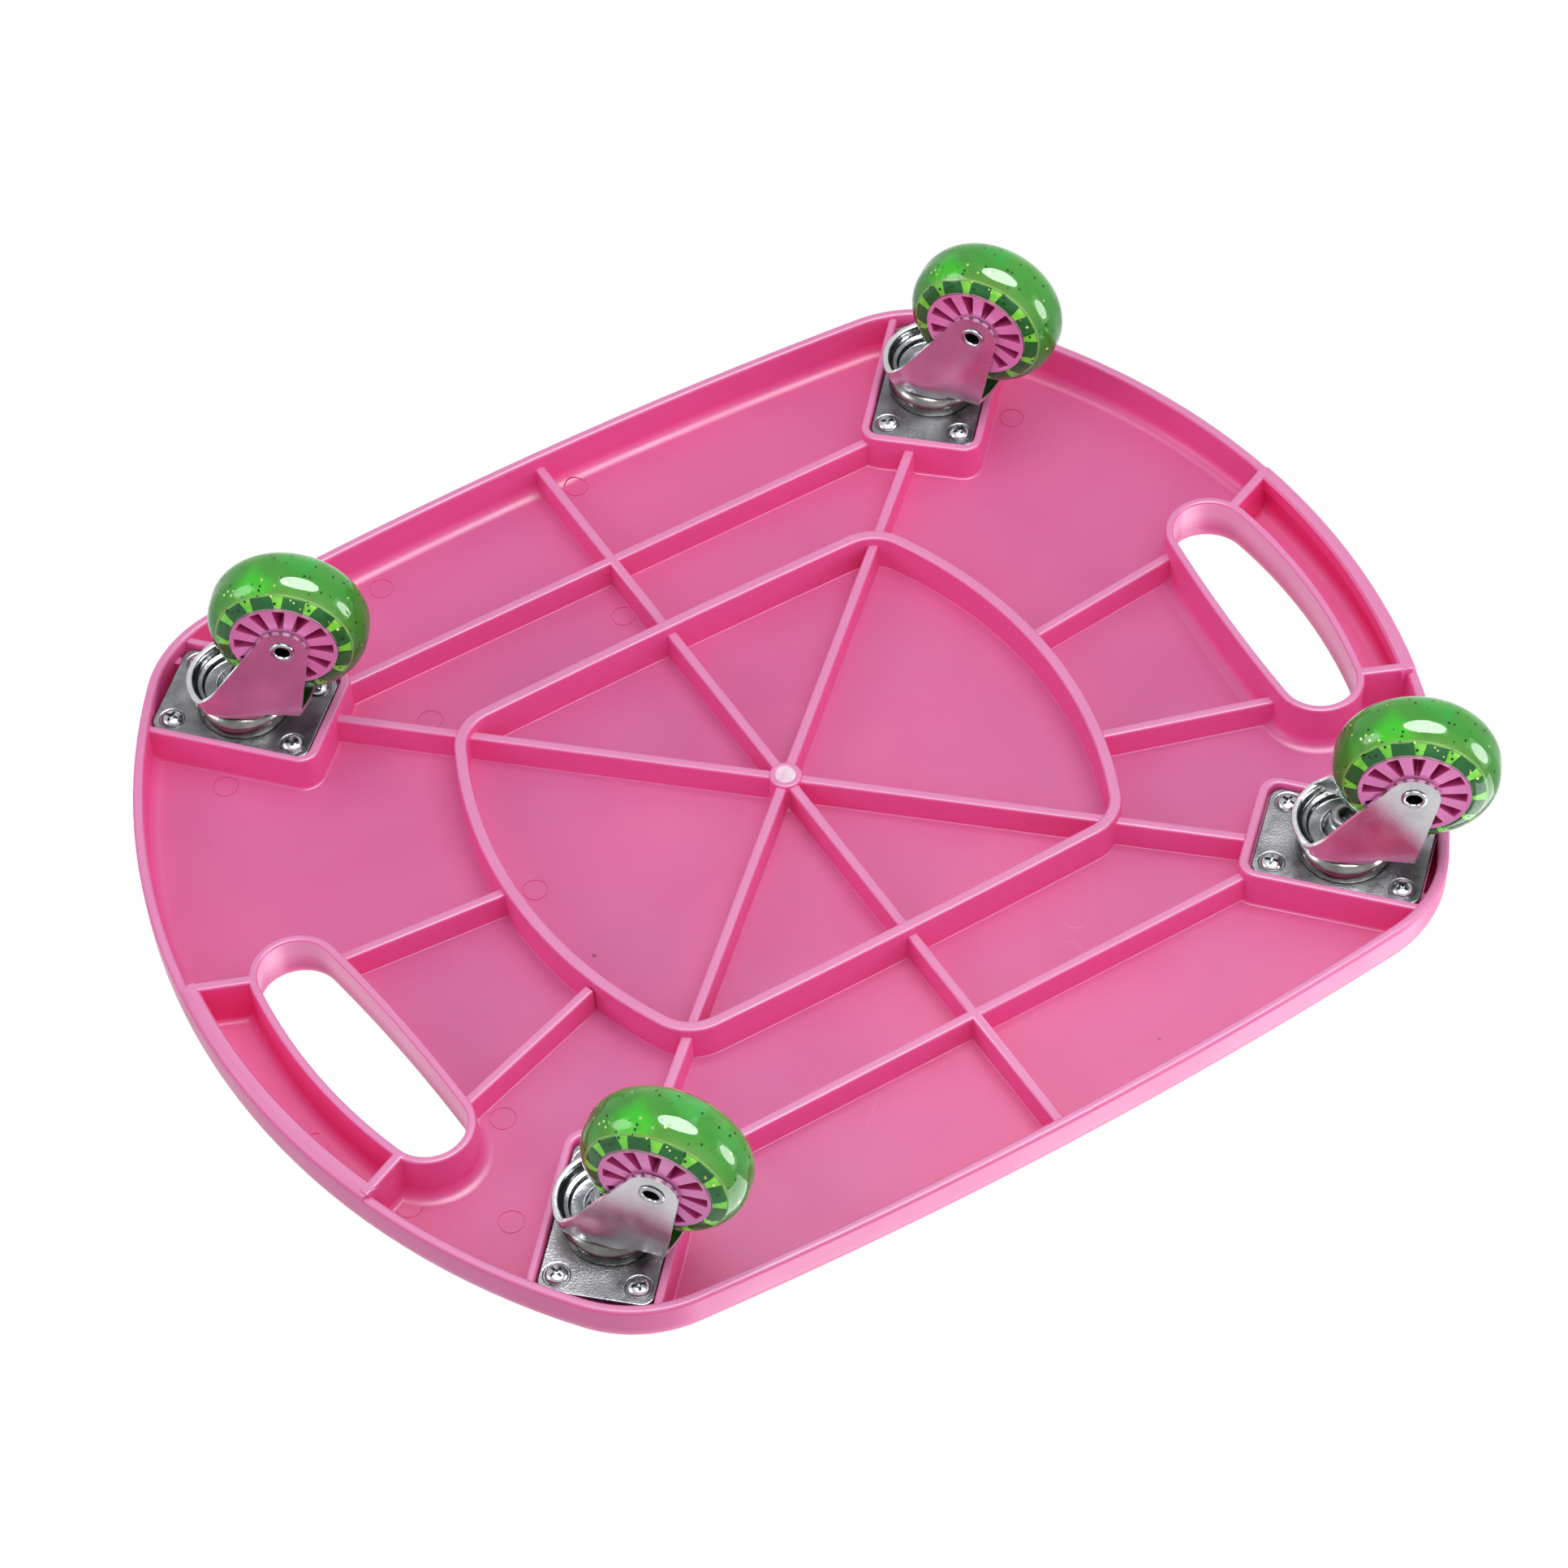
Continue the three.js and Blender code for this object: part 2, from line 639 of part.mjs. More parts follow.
function legOuterFace() {
  return legInnerFace() + FORK.legThickness;
}

// Where a straight edge from a point touches the leg's round tip
function tipTangent(point, centre, radius, side) {
  const away = point.clone().sub(centre);
  const angle = away.angle() + side * Math.acos(radius / away.length());
  return angle;
}

function legShape() {
  const tip = new THREE.Vector2(FORK.trail, AXLE_Z);
  const toe = new THREE.Vector2(-FORK.toeReach, CUP_Z - FORK.cupRimDrop);
  const heel = new THREE.Vector2(FORK.heelReach, CUP_Z - FORK.heelDrop);
  const shape = new THREE.Shape();
  const front = tipTangent(toe, tip, FORK.legTipRadius, 1);
  const back = tipTangent(heel, tip, FORK.legTipRadius, -1);
  shape.moveTo(heel.x, heel.y);
  shape.lineTo(-FORK.toeReach, CUP_Z - FORK.sheet);
  shape.lineTo(toe.x, toe.y);
  shape.absarc(tip.x, tip.y, FORK.legTipRadius, front, back + 2 * Math.PI, false);
  const hole = new THREE.Path().absarc(tip.x, tip.y, AXLE.radius + SEAT_GAP, 0, 2 * Math.PI, true);
  shape.holes.push(hole);
  return shape;
}

// The space between the middles of the two legs: the cup is flat where they run down from it
function betweenLegs() {
  const reach = FORK.heelReach + FORK.cupRimRadius;
  return solid(new THREE.BoxGeometry(2 * reach, legInnerFace() + legOuterFace(), 2 * PLATE_FACE_Z));
}

// The fork's top runs on from the cup to the heels, sloping with the legs' upper edges
function heelPlate() {
  const { toeReach, heelReach, heelBow, heelDrop, sheet, cupFloorRadius, cupRimRadius } = FORK;
  const slope = (heelDrop - sheet) / (heelReach + toeReach);
  const top = (x) => CUP_Z - sheet - slope * (x + toeReach);
  const far = heelReach + heelBow + OVERRUN;
  const side = new THREE.Shape([
    new THREE.Vector2(0, top(0)),
    new THREE.Vector2(0, top(0) - sheet),
    new THREE.Vector2(far, top(far) - sheet),
    new THREE.Vector2(far, top(far)),
  ]);
  const half = (legInnerFace() + legOuterFace()) / 2;
  const slab = solid(extruded(side, 2 * half, -half, 1).rotateX(Math.PI / 2));
  const bowRadius = (half * half + heelBow * heelBow) / (2 * heelBow);
  const column = (radius, steps) => new THREE.CylinderGeometry(radius, radius, 2 * PLATE_FACE_Z, steps);
  const edge = column(bowRadius, COUNTS.heelEdge).rotateX(Math.PI / 2);
  const trough = column((cupFloorRadius + cupRimRadius) / 2, COUNTS.round).rotateX(Math.PI / 2);
  edge.translate(heelReach + heelBow - bowRadius, 0, 0);
  return slab.intersect(solid(edge)).subtract(solid(trough));
}

function buildFork(name) {
  const { sheet, cupRimRadius, cupRimDrop, cupFloorRadius, coneFootRadius, coneTopRadius, coneDrop } = FORK;
  const bore = KINGPIN.radius + SEAT_GAP;
  const floor = CUP_Z;
  const rim = floor - cupRimDrop;
  const cup = [
    [bore, floor - coneDrop],
    [coneTopRadius, floor - coneDrop],
    [coneFootRadius, floor - sheet],
    [cupFloorRadius, floor - sheet],
    [cupRimRadius - sheet, rim],
    [cupRimRadius, rim],
    [cupRimRadius, rim + sheet],
    [cupFloorRadius + sheet / 2, floor],
    [coneFootRadius - sheet / 2, floor],
    [coneTopRadius - sheet / 2, floor - coneDrop + sheet],
    [bore, floor - coneDrop + sheet],
  ];
  const leg = (outerFace) => {
    const sheetLeg = extruded(legShape(), FORK.legThickness, 0, COUNTS.sheetArc);
    return solid(sheetLeg.rotateX(Math.PI / 2).translate(0, outerFace, 0));
  };
  const legs = [leg(legOuterFace()), leg(-legInnerFace())];
  const fork = solid(turnedUpright(cup, COUNTS.round)).add(heelPlate()).intersect(betweenLegs());
  return meshOf(`fork_${name}`, geometryOf(fork.add(join(legs))), MATERIALS.chrome);
}

function buildAxle(name) {
  const inside = legOuterFace() + SEAT_GAP;
  const end = inside + AXLE.flangeThickness;
  const profile = [
    [AXLE.boreRadius, -end],
    [AXLE.flangeRadius, -end],
    [AXLE.flangeRadius, -inside],
    [AXLE.radius, -inside],
    [AXLE.radius, inside],
    [AXLE.flangeRadius, inside],
    [AXLE.flangeRadius, end],
    [AXLE.boreRadius, end],
  ];
  return meshOf(`axle_rivet_${name}`, turned(profile, COUNTS.small), MATERIALS.chrome);
}

function bearingInnerFace() {
  return WHEEL.hubWidth / 2 - BEARING.recess - BEARING.width;
}

function buildSpacer(name) {
  const half = bearingInnerFace() - SEAT_GAP;
  const profile = [
    [BEARING.boreRadius, -half],
    [SPACER_RADIUS, -half],
    [SPACER_RADIUS, half],
    [BEARING.boreRadius, half],
  ];
  return meshOf(`axle_spacer_${name}`, turned(profile, COUNTS.small), MATERIALS.steel);
}

function buildBearing(name, label, side) {
  const near = side * bearingInnerFace();
  const far = near + side * BEARING.width;
  const [low, high] = [Math.min(near, far), Math.max(near, far)];
  const profile = [
    [BEARING.boreRadius, low],
    [BEARING.outerRadius, low],
    [BEARING.outerRadius, high],
    [BEARING.boreRadius, high],
  ];
  return meshOf(`bearing_${label}_${name}`, turned(profile, COUNTS.small), MATERIALS.steel);
}

// A tapered slot in a hub's face, at the top, cut in from one side
function hubSlot(side) {
  const { slotInnerRadius, slotOuterRadius, slotInnerWidth, slotOuterWidth, slotDepth, hubWidth } = WHEEL;
  const shape = new THREE.Shape([
    new THREE.Vector2(-slotInnerWidth / 2, slotInnerRadius),
    new THREE.Vector2(slotInnerWidth / 2, slotInnerRadius),
    new THREE.Vector2(slotOuterWidth / 2, slotOuterRadius),
    new THREE.Vector2(-slotOuterWidth / 2, slotOuterRadius),
  ]);
  const depth = slotDepth + OVERRUN;
  const slot = extruded(shape, depth, 0, 1).rotateX(Math.PI / 2);
  const outer = hubWidth / 2 + OVERRUN;
  return slot.translate(0, side > 0 ? outer : depth - outer, 0);
}

function buildHub(name) {
  const half = WHEEL.hubWidth / 2;
  const seatRadius = BEARING.outerRadius + SEAT_GAP;
  const shoulder = bearingInnerFace() - SEAT_GAP;
  const bore = SPACER_RADIUS + SEAT_GAP;
  const profile = [
    [bore, -shoulder],
    [seatRadius, -shoulder],
    [seatRadius, -half],
    [WHEEL.hubRadius, -half],
    [WHEEL.hubRadius, half],
    [seatRadius, half],
    [seatRadius, shoulder],
    [bore, shoulder],
  ];
  const lugRoot = WHEEL.hubRadius - OVERRUN;
  const lugHeight = WHEEL.lugRadius - lugRoot;
  const lugs = [];
  const slots = [];
  const pitch = (2 * Math.PI) / SPOKE_COUNT;
  for (let i = 0; i < SPOKE_COUNT; i += 1) {
    const turn = pitch * i;
    const lug = new THREE.BoxGeometry(WHEEL.lugWidth, WHEEL.lugLength, lugHeight);
    lugs.push(solid(lug.translate(0, 0, lugRoot + lugHeight / 2).rotateY(turn + pitch / 2)));
    for (const side of [-1, 1]) slots.push(solid(hubSlot(side).rotateY(turn)));
  }
  const body = solid(turned(profile, 2 * SPOKE_COUNT)).add(join(lugs));
  return meshOf(`wheel_hub_${name}`, geometryOf(body.subtract(join(slots))), MATERIALS.hub);
}

// The tyre's flats, not its corners, lie on the wheel's radius, and one flat is on the ground
function buildTyre(name) {
  const { radius, tyreWidth, treadFlat, sideCentreRadius, hubRadius, lugRadius, lugLength } = WHEEL;
  const seat = hubRadius + SEAT_GAP;
  const groove = lugRadius + SEAT_GAP;
  const grooveHalf = lugLength / 2 + SEAT_GAP;
  const flat = treadFlat / 2;
  const span = radius - sideCentreRadius;
  const start = Math.asin((seat - sideCentreRadius) / span);
  const side = [];
  for (let i = 0; i <= COUNTS.tyreSide; i += 1) {
    const angle = start + (Math.PI / 2 - start) * (i / COUNTS.tyreSide);
    const y = flat + (tyreWidth / 2 - flat) * Math.cos(angle);
    side.push([sideCentreRadius + span * Math.sin(angle), y]);
  }
  const profile = [
    [seat, grooveHalf],
    [groove, grooveHalf],
    [groove, -grooveHalf],
    [seat, -grooveHalf],
    ...side.map(([r, y]) => [r, -y]),
    ...side.reverse(),
  ];
  const corner = 1 / Math.cos(Math.PI / COUNTS.wheel);
  const tyre = turned(profile.map(([r, y]) => [r * corner, y]), COUNTS.wheel);
  return meshOf(`tyre_${name}`, tyre.rotateY(Math.PI / COUNTS.wheel), MATERIALS.tyre);
}

function buildCaster(corner) {
  const { name, swivelDegrees } = corner;
  const caster = new THREE.Group();
  const fixed = new THREE.Group();
  fixed.rotation.z = cornerTurn(corner);
  fixed.add(buildPlate(name), buildRace(name), buildKingpin(name));
  screwPlaces().forEach((place, i) => fixed.add(buildScrew(name, i + 1, place)));
  const swivel = new THREE.Group();
  swivel.rotation.z = THREE.MathUtils.degToRad(swivelDegrees);
  const wheel = new THREE.Group();
  wheel.position.set(FORK.trail, 0, AXLE_Z);
  wheel.add(buildAxle(name), buildSpacer(name));
  wheel.add(buildBearing(name, "left", 1), buildBearing(name, "right", -1));
  wheel.add(buildHub(name), buildTyre(name));
  swivel.add(buildFork(name), wheel);
  caster.add(fixed, swivel);
  const centre = cornerPoint(corner, 0, 0);
  caster.position.set(centre.x, centre.y, 0);
  return caster;
}

const board = new THREE.Group();
board.add(buildDeck());
for (const corner of CORNERS) board.add(buildCaster(corner));

export default board;
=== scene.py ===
# Scooter board, dressed for a studio picture of its underside
# Sizes are in millimetres, as in the part's source. Meshes are turned into metres when they are finished.
# The board stands on its wheels on z = 0, its long side lies along X and its front is +Y.

import random
from math import acos, asin, atan2, cos, dist, exp, hypot, pi, radians, sin, sqrt

import bmesh
import bpy
from mathutils import Matrix, Vector


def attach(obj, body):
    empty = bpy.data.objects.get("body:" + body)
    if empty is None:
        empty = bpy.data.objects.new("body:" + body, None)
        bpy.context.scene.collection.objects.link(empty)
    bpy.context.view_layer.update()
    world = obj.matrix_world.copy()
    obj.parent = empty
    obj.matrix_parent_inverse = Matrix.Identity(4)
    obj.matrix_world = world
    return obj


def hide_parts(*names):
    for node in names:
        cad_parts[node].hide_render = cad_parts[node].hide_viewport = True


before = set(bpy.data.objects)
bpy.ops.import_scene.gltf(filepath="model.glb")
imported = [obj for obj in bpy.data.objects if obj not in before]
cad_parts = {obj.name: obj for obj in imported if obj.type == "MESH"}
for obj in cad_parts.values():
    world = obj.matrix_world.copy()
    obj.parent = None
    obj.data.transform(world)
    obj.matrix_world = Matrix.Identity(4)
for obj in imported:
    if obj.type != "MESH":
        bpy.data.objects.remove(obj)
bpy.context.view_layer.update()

MM = 0.001

# Camera, fitted to the photograph: its place, and the directions of the picture's right and lower edges
CAMERA_PLACE = Vector((-449.98, 800.63, -1046.18))
CAMERA_RIGHT = Vector((0.85425, 0.51908, 0.02846))
CAMERA_DOWN = Vector((-0.41692, 0.65136, 0.63397))
CAMERA_LENS = 104.98
SENSOR = 36

# Wheels and forks
WHEEL_RADIUS = 25.4
TYRE_CENTRE = 15.5
TYRE_HALF = 11.4
TREAD_FLAT = 1.5
HUB_RADIUS = 17.3
HUB_HALF = 10.8
LUG_RADIUS = 20.8
LUG_HALF = 10.3
LUG_SLOPE = 0.38
LUG_WIDTH = 6.8
CORE_RADIUS = 21.5
CORE_STEP = 0.45
SPOKES = 12
HUB_SLOT_INNER = 7.8
HUB_SLOT_OUTER = 15.8
HUB_SLOT_DEPTH = 6
SLOT_TIP_ROUND = 0.55
HUB_BEVEL = 0.55
SEAT_GAP = 0.3
RACE_HEIGHT = 6.6
CONE_DROP = 6.2
CUP_DROP = 6.5
CUP_STEPS = 144
AXLE_HOLE_RADIUS = 3
LEG_INNER = 11.7
LEG_THICKNESS = 1.3
LEG_TIP = 8
LEG_SWELL = 1.2
TOE_REACH = 9
HEEL_REACH = 21.5
HEEL_BOW = 2.5
TRAIL = 19
SCREW_HEAD = 1.5
SCREW_HEAD_RADIUS = 3.5
PIN_RADIUS = 3

# Levels above the ground
AXLE_Z = WHEEL_RADIUS
PLATE_FACE_Z = AXLE_Z + 41.4
PLATE_TOP_Z = PLATE_FACE_Z + 2
SCREW_CROWN_Z = PLATE_FACE_Z - SCREW_HEAD
CUP_Z = PLATE_FACE_Z - SEAT_GAP - RACE_HEIGHT - SEAT_GAP
HEEL_Z = CUP_Z - 3.5
TOE_Z = CUP_Z - 1.6
PAD_Z = PLATE_TOP_Z + SEAT_GAP
RIB_EDGE_Z = PAD_Z - 0.7
PANEL_Z = RIB_EDGE_Z + 10
TOP_Z = PANEL_Z + 3.2
RIM_LIP_Z = RIB_EDGE_Z - 5
SLOT_LIP_Z = RIB_EDGE_Z - 7
RING_LIP_Z = RIB_EDGE_Z - 3.3
BOSS_LIP_Z = RIB_EDGE_Z - 3.5

# Outlines in plan
BOARD = dict(half_length=203, half_width=162, end_radius=228, side_radius=1500, corner_radius=44)
RING = dict(half_length=98.5, half_width=75, end_radius=150, side_radius=4000, corner_radius=17)
SLOT_NEAR = (168.5, -9.3)
SLOT_FAR = (161.5, 61.3)
SLOT_END_RADIUS = 12
SLOT_OUTER_RADIUS = 182
SLOT_INNER_RADIUS = 585

# Walls of the deck
RIM_WALL = 3.4
TOP_EDGE_RADIUS = 10
COVE_RADIUS = 4.0
RIB_WIDTH = 3.5
RING_WALL = 4
SLOT_WALL = 2.7
SLOT_EDGE_RADIUS = 8
POCKET_WALL = 3.4
POCKET_FOOT = 2
POCKET_MARGIN = 2.2
POCKET_NEAR = (196, -20.5)
POCKET_FAR = (186, 72)
RIM_BULGE = 0.9
RIM_STEP = 1.3
RIM_STEP_HEIGHT = 4.5
RIM_LIP_ROUND = 1.3
LIP_ROUND = 0.9
FOOT_ROUND = 0.4
BOSS_FOOT = 1
LONG_RIB_Y = 110
HANDLE_RIBS = (((96.5, -7.5), (155.5, -12.4)), ((94, 39.3), (149.5, 57.2)))
CENTRE_BOSS_RADIUS = 5.3
GATE_RADIUS = 3.3
OVERRUN = 1.5
SINK = 0.6

# Casters
CASTER_X = 131
CASTER_Y = 118.5
PLATE_TURN = radians(47.3)
PLATE_LENGTH = 53
PLATE_WIDTH = 35
PLATE_CORNER = 4
HOLES_LONG = 41
HOLES_WIDE = 24.5
BOSS_END_WALL = 3.2
BOSS_SIDE_WALL = 2.7
BOSS_END_ROOM = 0.8
BOSS_SIDE_ROOM = 0.4
BOSS_REACH = PLATE_LENGTH / 2 + BOSS_END_ROOM + BOSS_END_WALL
BOSS_HALF_WIDTH = PLATE_WIDTH / 2 + BOSS_SIDE_ROOM + BOSS_SIDE_WALL
BOSS_INNER_END = BOSS_END_WALL - BOSS_REACH
BOSS_INNER_HALF = BOSS_HALF_WIDTH - BOSS_SIDE_WALL
BOSS_OUTER_CORNER = 6.5
DIAGONAL_OFFSET = 2.95
CORNERS = (
    dict(name="rear_left", side_x=-1, side_y=-1, swivel=37, spin=0),
    dict(name="rear_right", side_x=1, side_y=-1, swivel=54.5, spin=11),
    dict(name="front_right", side_x=1, side_y=1, swivel=39.5, spin=0),
    dict(name="front_left", side_x=-1, side_y=1, swivel=50.5, spin=-3),
)

# Round marks that the mould's pins leave on the panel
PIN_MARKS = (
    (10, -153), (-5.5, -94), (-67, -148), (-149, -100), (150.6, -100.5), (-86, -10),
    (-80.5, -89), (-137, 61), (-176, 74), (-189, 39), (-153, 95),
)
PIN_MARK_RADIUS = 4
PIN_MARK_DEPTH = 0.3

FINE = dict(end=20, corner=16, side=8, edge=8, lip=4, slot_end=20, slot_side=14, round=64, small=40)


# Meshes

def shown(name, data):
    piece = bpy.data.objects.new(name, data)
    bpy.context.scene.collection.objects.link(piece)
    return piece


def mesh_object(name, verts, faces):
    mesh = bpy.data.meshes.new(name)
    mesh.from_pydata([tuple(v) for v in verts], [], faces)
    body = bmesh.new()
    body.from_mesh(mesh)
    bmesh.ops.remove_doubles(body, verts=body.verts, dist=1e-5)
    bmesh.ops.recalc_face_normals(body, faces=body.faces)
    body.to_mesh(mesh)
    body.free()
    return shown(name, mesh)


def skin(rings, closed=False):
    """Quads through a list of rings with as many points each. An open skin is capped at both ends."""
    count = len(rings[0])
    verts = [tuple(p) for ring in rings for p in ring]
    faces = []
    layers = len(rings)
    for layer in range(layers if closed else layers - 1):
        low = layer * count
        high = ((layer + 1) % layers) * count
        for i in range(count):
            j = (i + 1) % count
            faces.append((low + i, low + j, high + j, high + i))
    if not closed:
        faces.append(tuple(reversed(range(count))))
        faces.append(tuple(range((layers - 1) * count, layers * count)))
    return verts, faces


def stack(name, layers):
    """A solid through (outline, level) layers."""
    return mesh_object(name, *skin([[(x, y, level) for x, y in outline] for outline, level in layers]))


def swept_wall(name, outline_at, section):
    """A closed wall: a section of (offset, level) points swept round an outline."""
    rings = [[(x, y, level) for x, y in outline_at(offset)] for offset, level in section]
    return mesh_object(name, *skin(rings, closed=True))


def turned(name, profile, steps=FINE["round"]):
    """A solid turned about Z. The profile is a loop of (radius, level) points."""
    angles = [2 * pi * i / steps for i in range(steps)]
    rings = [[(r * cos(a), r * sin(a), z) for r, z in profile] for a in angles]
    return mesh_object(name, *skin(rings, closed=True))


def prism(name, outline, bottom, top):
    return stack(name, [(outline, bottom), (outline, top)])


def placed(piece, matrix):
    piece.data.transform(matrix)
    return piece


def moved(piece, x, y, z=0):
    return placed(piece, Matrix.Translation((x, y, z)))


def applied(piece, kind, **settings):
    """The piece, with a modifier worked into its mesh."""
    modifier = piece.modifiers.new("shape", kind)
    for name, value in settings.items():
        setattr(modifier, name, value)
    graph = bpy.context.evaluated_depsgraph_get()
    made = bpy.data.meshes.new_from_object(piece.evaluated_get(graph))
    piece.modifiers.clear()
    old, piece.data = piece.data, made
    bpy.data.meshes.remove(old)
    return piece


def combined(base, tools, operation):
    """The base mesh with each tool joined to it or cut from it. The tools are used up."""
    for tool in tools:
        applied(base, "BOOLEAN", operation=operation, object=tool, solver="MANIFOLD")
        mesh = tool.data
        bpy.data.objects.remove(tool)
        bpy.data.meshes.remove(mesh)
    return base


def pattern(piece, material, angle=34):
    """A finished mesh in metres, smooth between its hard edges. The object that made it goes."""
    mesh = piece.data
    mesh.transform(Matrix.Scale(MM, 4))
    mesh.shade_smooth()
    mesh.set_sharp_from_angle(angle=radians(angle))
    mesh.materials.clear()
    mesh.materials.append(material)
    mesh.name = piece.name
    bpy.data.objects.remove(piece)
    return mesh


def paint(mesh, material, chosen):
    """Another material for the faces that a test picks by their middle, in millimetres, and normal."""
    mesh.materials.append(material)
    for face in mesh.polygons:
        if chosen(face.center / MM, face.normal):
            face.material_index = len(mesh.materials) - 1


def put(mesh, name, matrix, body, slot, *nodes):
    """A pattern at its place, riding on a body and standing for CAD nodes."""
    copy = shown(name, mesh)
    copy.matrix_world = matrix
    copy.modifiers.new("weighted normals", "WEIGHTED_NORMAL").keep_sharp = True
    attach(copy, body)
    if nodes:
        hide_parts(*nodes)


# Outlines

def arc(centre, radius, start, end, steps):
    sweep = end - start if end >= start else end - start + 2 * pi
    angles = [start + sweep * i / steps for i in range(steps)]
    return [(centre[0] + radius * cos(a), centre[1] + radius * sin(a)) for a in angles]


def circles_meet(first, first_radius, second, second_radius):
    """Where two circles meet, on the left of the line from the first centre to the second."""
    dx, dy = second[0] - first[0], second[1] - first[1]
    apart = hypot(dx, dy)
    along = (apart**2 + first_radius**2 - second_radius**2) / (2 * apart)
    aside = sqrt(first_radius**2 - along**2)
    ux, uy = dx / apart, dy / apart
    return first[0] + ux * along - uy * aside, first[1] + uy * along + ux * aside


def bearing_from(centre, point):
    return atan2(point[1] - centre[1], point[0] - centre[0]) % (2 * pi)


def centres(size):
    """The middles of an oblong's end arc, side arc and corner, in its first quarter."""
    end = (size["half_length"] - size["end_radius"], 0)
    side = (0, size["half_width"] - size["side_radius"])
    radius = size["corner_radius"]
    return end, side, circles_meet(end, size["end_radius"] - radius, side, size["side_radius"] - radius)


def oblong(size, offset):
    """A round-cornered outline with bowed ends and sides, grown outwards by offset, anticlockwise."""
    end, side, corner = centres(size)
    end_turn, side_turn = bearing_from(end, corner), bearing_from(side, corner)
    quarter = arc(end, size["end_radius"] + offset, 0, end_turn, FINE["end"])
    quarter += arc(corner, size["corner_radius"] + offset, end_turn, side_turn, FINE["corner"])
    quarter += arc(side, size["side_radius"] + offset, side_turn, pi / 2, FINE["side"])
    quarter.append((0, size["half_width"] + offset))
    upper = quarter + [(-x, y) for x, y in reversed(quarter[:-1])]
    return upper + [(-x, -y) for x, y in upper[1:-1]]


def beyond(size, x, y):
    """How far a point lies outside an oblong. It is below zero inside."""
    here = (abs(x), abs(y))
    end, side, corner = centres(size)
    if bearing_from(end, corner) < bearing_from(corner, here) < bearing_from(side, corner):
        return dist(corner, here) - size["corner_radius"]
    return max(dist(end, here) - size["end_radius"], dist(side, here) - size["side_radius"])


def slot_outline(offset=0):
    outer_span = SLOT_OUTER_RADIUS - SLOT_END_RADIUS
    inner_span = SLOT_INNER_RADIUS - SLOT_END_RADIUS
    outer = circles_meet(SLOT_NEAR, outer_span, SLOT_FAR, outer_span)
    inner = circles_meet(SLOT_FAR, inner_span, SLOT_NEAR, inner_span)
    near_out, far_out = bearing_from(outer, SLOT_NEAR), bearing_from(outer, SLOT_FAR)
    far_in, near_in = bearing_from(inner, SLOT_FAR), bearing_from(inner, SLOT_NEAR)
    points = arc(outer, SLOT_OUTER_RADIUS + offset, near_out, far_out, FINE["slot_side"])
    points += arc(SLOT_FAR, SLOT_END_RADIUS + offset, far_out, far_in, FINE["slot_end"])
    points += arc(inner, SLOT_INNER_RADIUS + offset, far_in, near_in, FINE["slot_side"])
    points += arc(SLOT_NEAR, SLOT_END_RADIUS + offset, near_in, near_out, FINE["slot_end"])
    return points


def on_side(points, side):
    return points if side > 0 else [(-x, y) for x, y in reversed(points)]


def rounded_box(left, right, half_width, radius, steps=8):
    x, y = (left + radius, right - radius), half_width - radius
    points = []
    for turn, middle in enumerate(((x[1], -y), (x[1], y), (x[0], y), (x[0], -y))):
        points += arc(middle, radius, (turn - 1) * pi / 2, turn * pi / 2, steps)
    return points


def circle(radius, steps):
    return arc((0, 0), radius, 0, 2 * pi, steps)


def raised(level, points):
    """Points of a profile that are given above a level."""
    return [(radius, level + up) for radius, up in points]


def mirrored(profile):
    return profile + [(r, -y) for r, y in reversed(profile)]


def quarter_turn(steps):
    return [pi / 2 * i / steps for i in range(steps + 1)]


def rolled(radius):
    """(how far in or out, how far up) points of a lip's quarter circle, from flat to upright."""
    return [(radius * (1 - sin(t)), radius * (1 - cos(t))) for t in quarter_turn(FINE["lip"])]


def bend(radius, steps):
    """(how far in or out, how far up) points of a quarter circle that leaves a wall upright and ends flat."""
    return [(radius * (1 - cos(t)), radius * sin(t)) for t in quarter_turn(steps)]


def wall_section(inner, outer, lip, foot_round=FOOT_ROUND):
    """A standing wall's section: round at its lip, flared where it meets the panel, sunk into the panel."""
    outside = [(outer - inwards, lip + up) for inwards, up in rolled(LIP_ROUND)]
    outside += [(outer + out, PANEL_Z - foot_round + up) for out, up in bend(foot_round, FINE["lip"])]
    outside.append((outer + foot_round, PANEL_Z + SINK))
    return outside + [(inner + outer - offset, level) for offset, level in reversed(outside)]


# The deck

def board_body(bottom, name, lip=((0, 0),)):
    layers = [(oblong(BOARD, -inwards), bottom + up) for inwards, up in lip]
    for inwards, up in bend(TOP_EDGE_RADIUS, FINE["edge"] * 2):
        layers.append((oblong(BOARD, -inwards), TOP_Z - TOP_EDGE_RADIUS + up))
    return stack(name, layers)


def cavity():
    layers = [(oblong(BOARD, RIM_LIP_ROUND - RIM_WALL), RIM_LIP_Z - OVERRUN)]
    layers += [(oblong(BOARD, out - RIM_WALL), RIM_LIP_Z + up) for out, up in rolled(RIM_LIP_ROUND)]
    for inwards, up in bend(COVE_RADIUS, FINE["edge"]):
        layers.append((oblong(BOARD, -RIM_WALL - inwards), PANEL_Z - COVE_RADIUS + up))
    return stack("cavity", layers)


def rib(start, end, lip=RIB_EDGE_Z, width=RIB_WIDTH, foot_round=FOOT_ROUND):
    start, end = Vector(start), Vector(end)
    along = end - start
    side = Vector((-along.y, along.x)).normalized()
    section = wall_section(-width / 2, width / 2, lip, foot_round)
    rings = [[(point.x + side.x * o, point.y + side.y * o, z) for o, z in section] for point in (start, end)]
    return mesh_object("rib", *skin(rings))


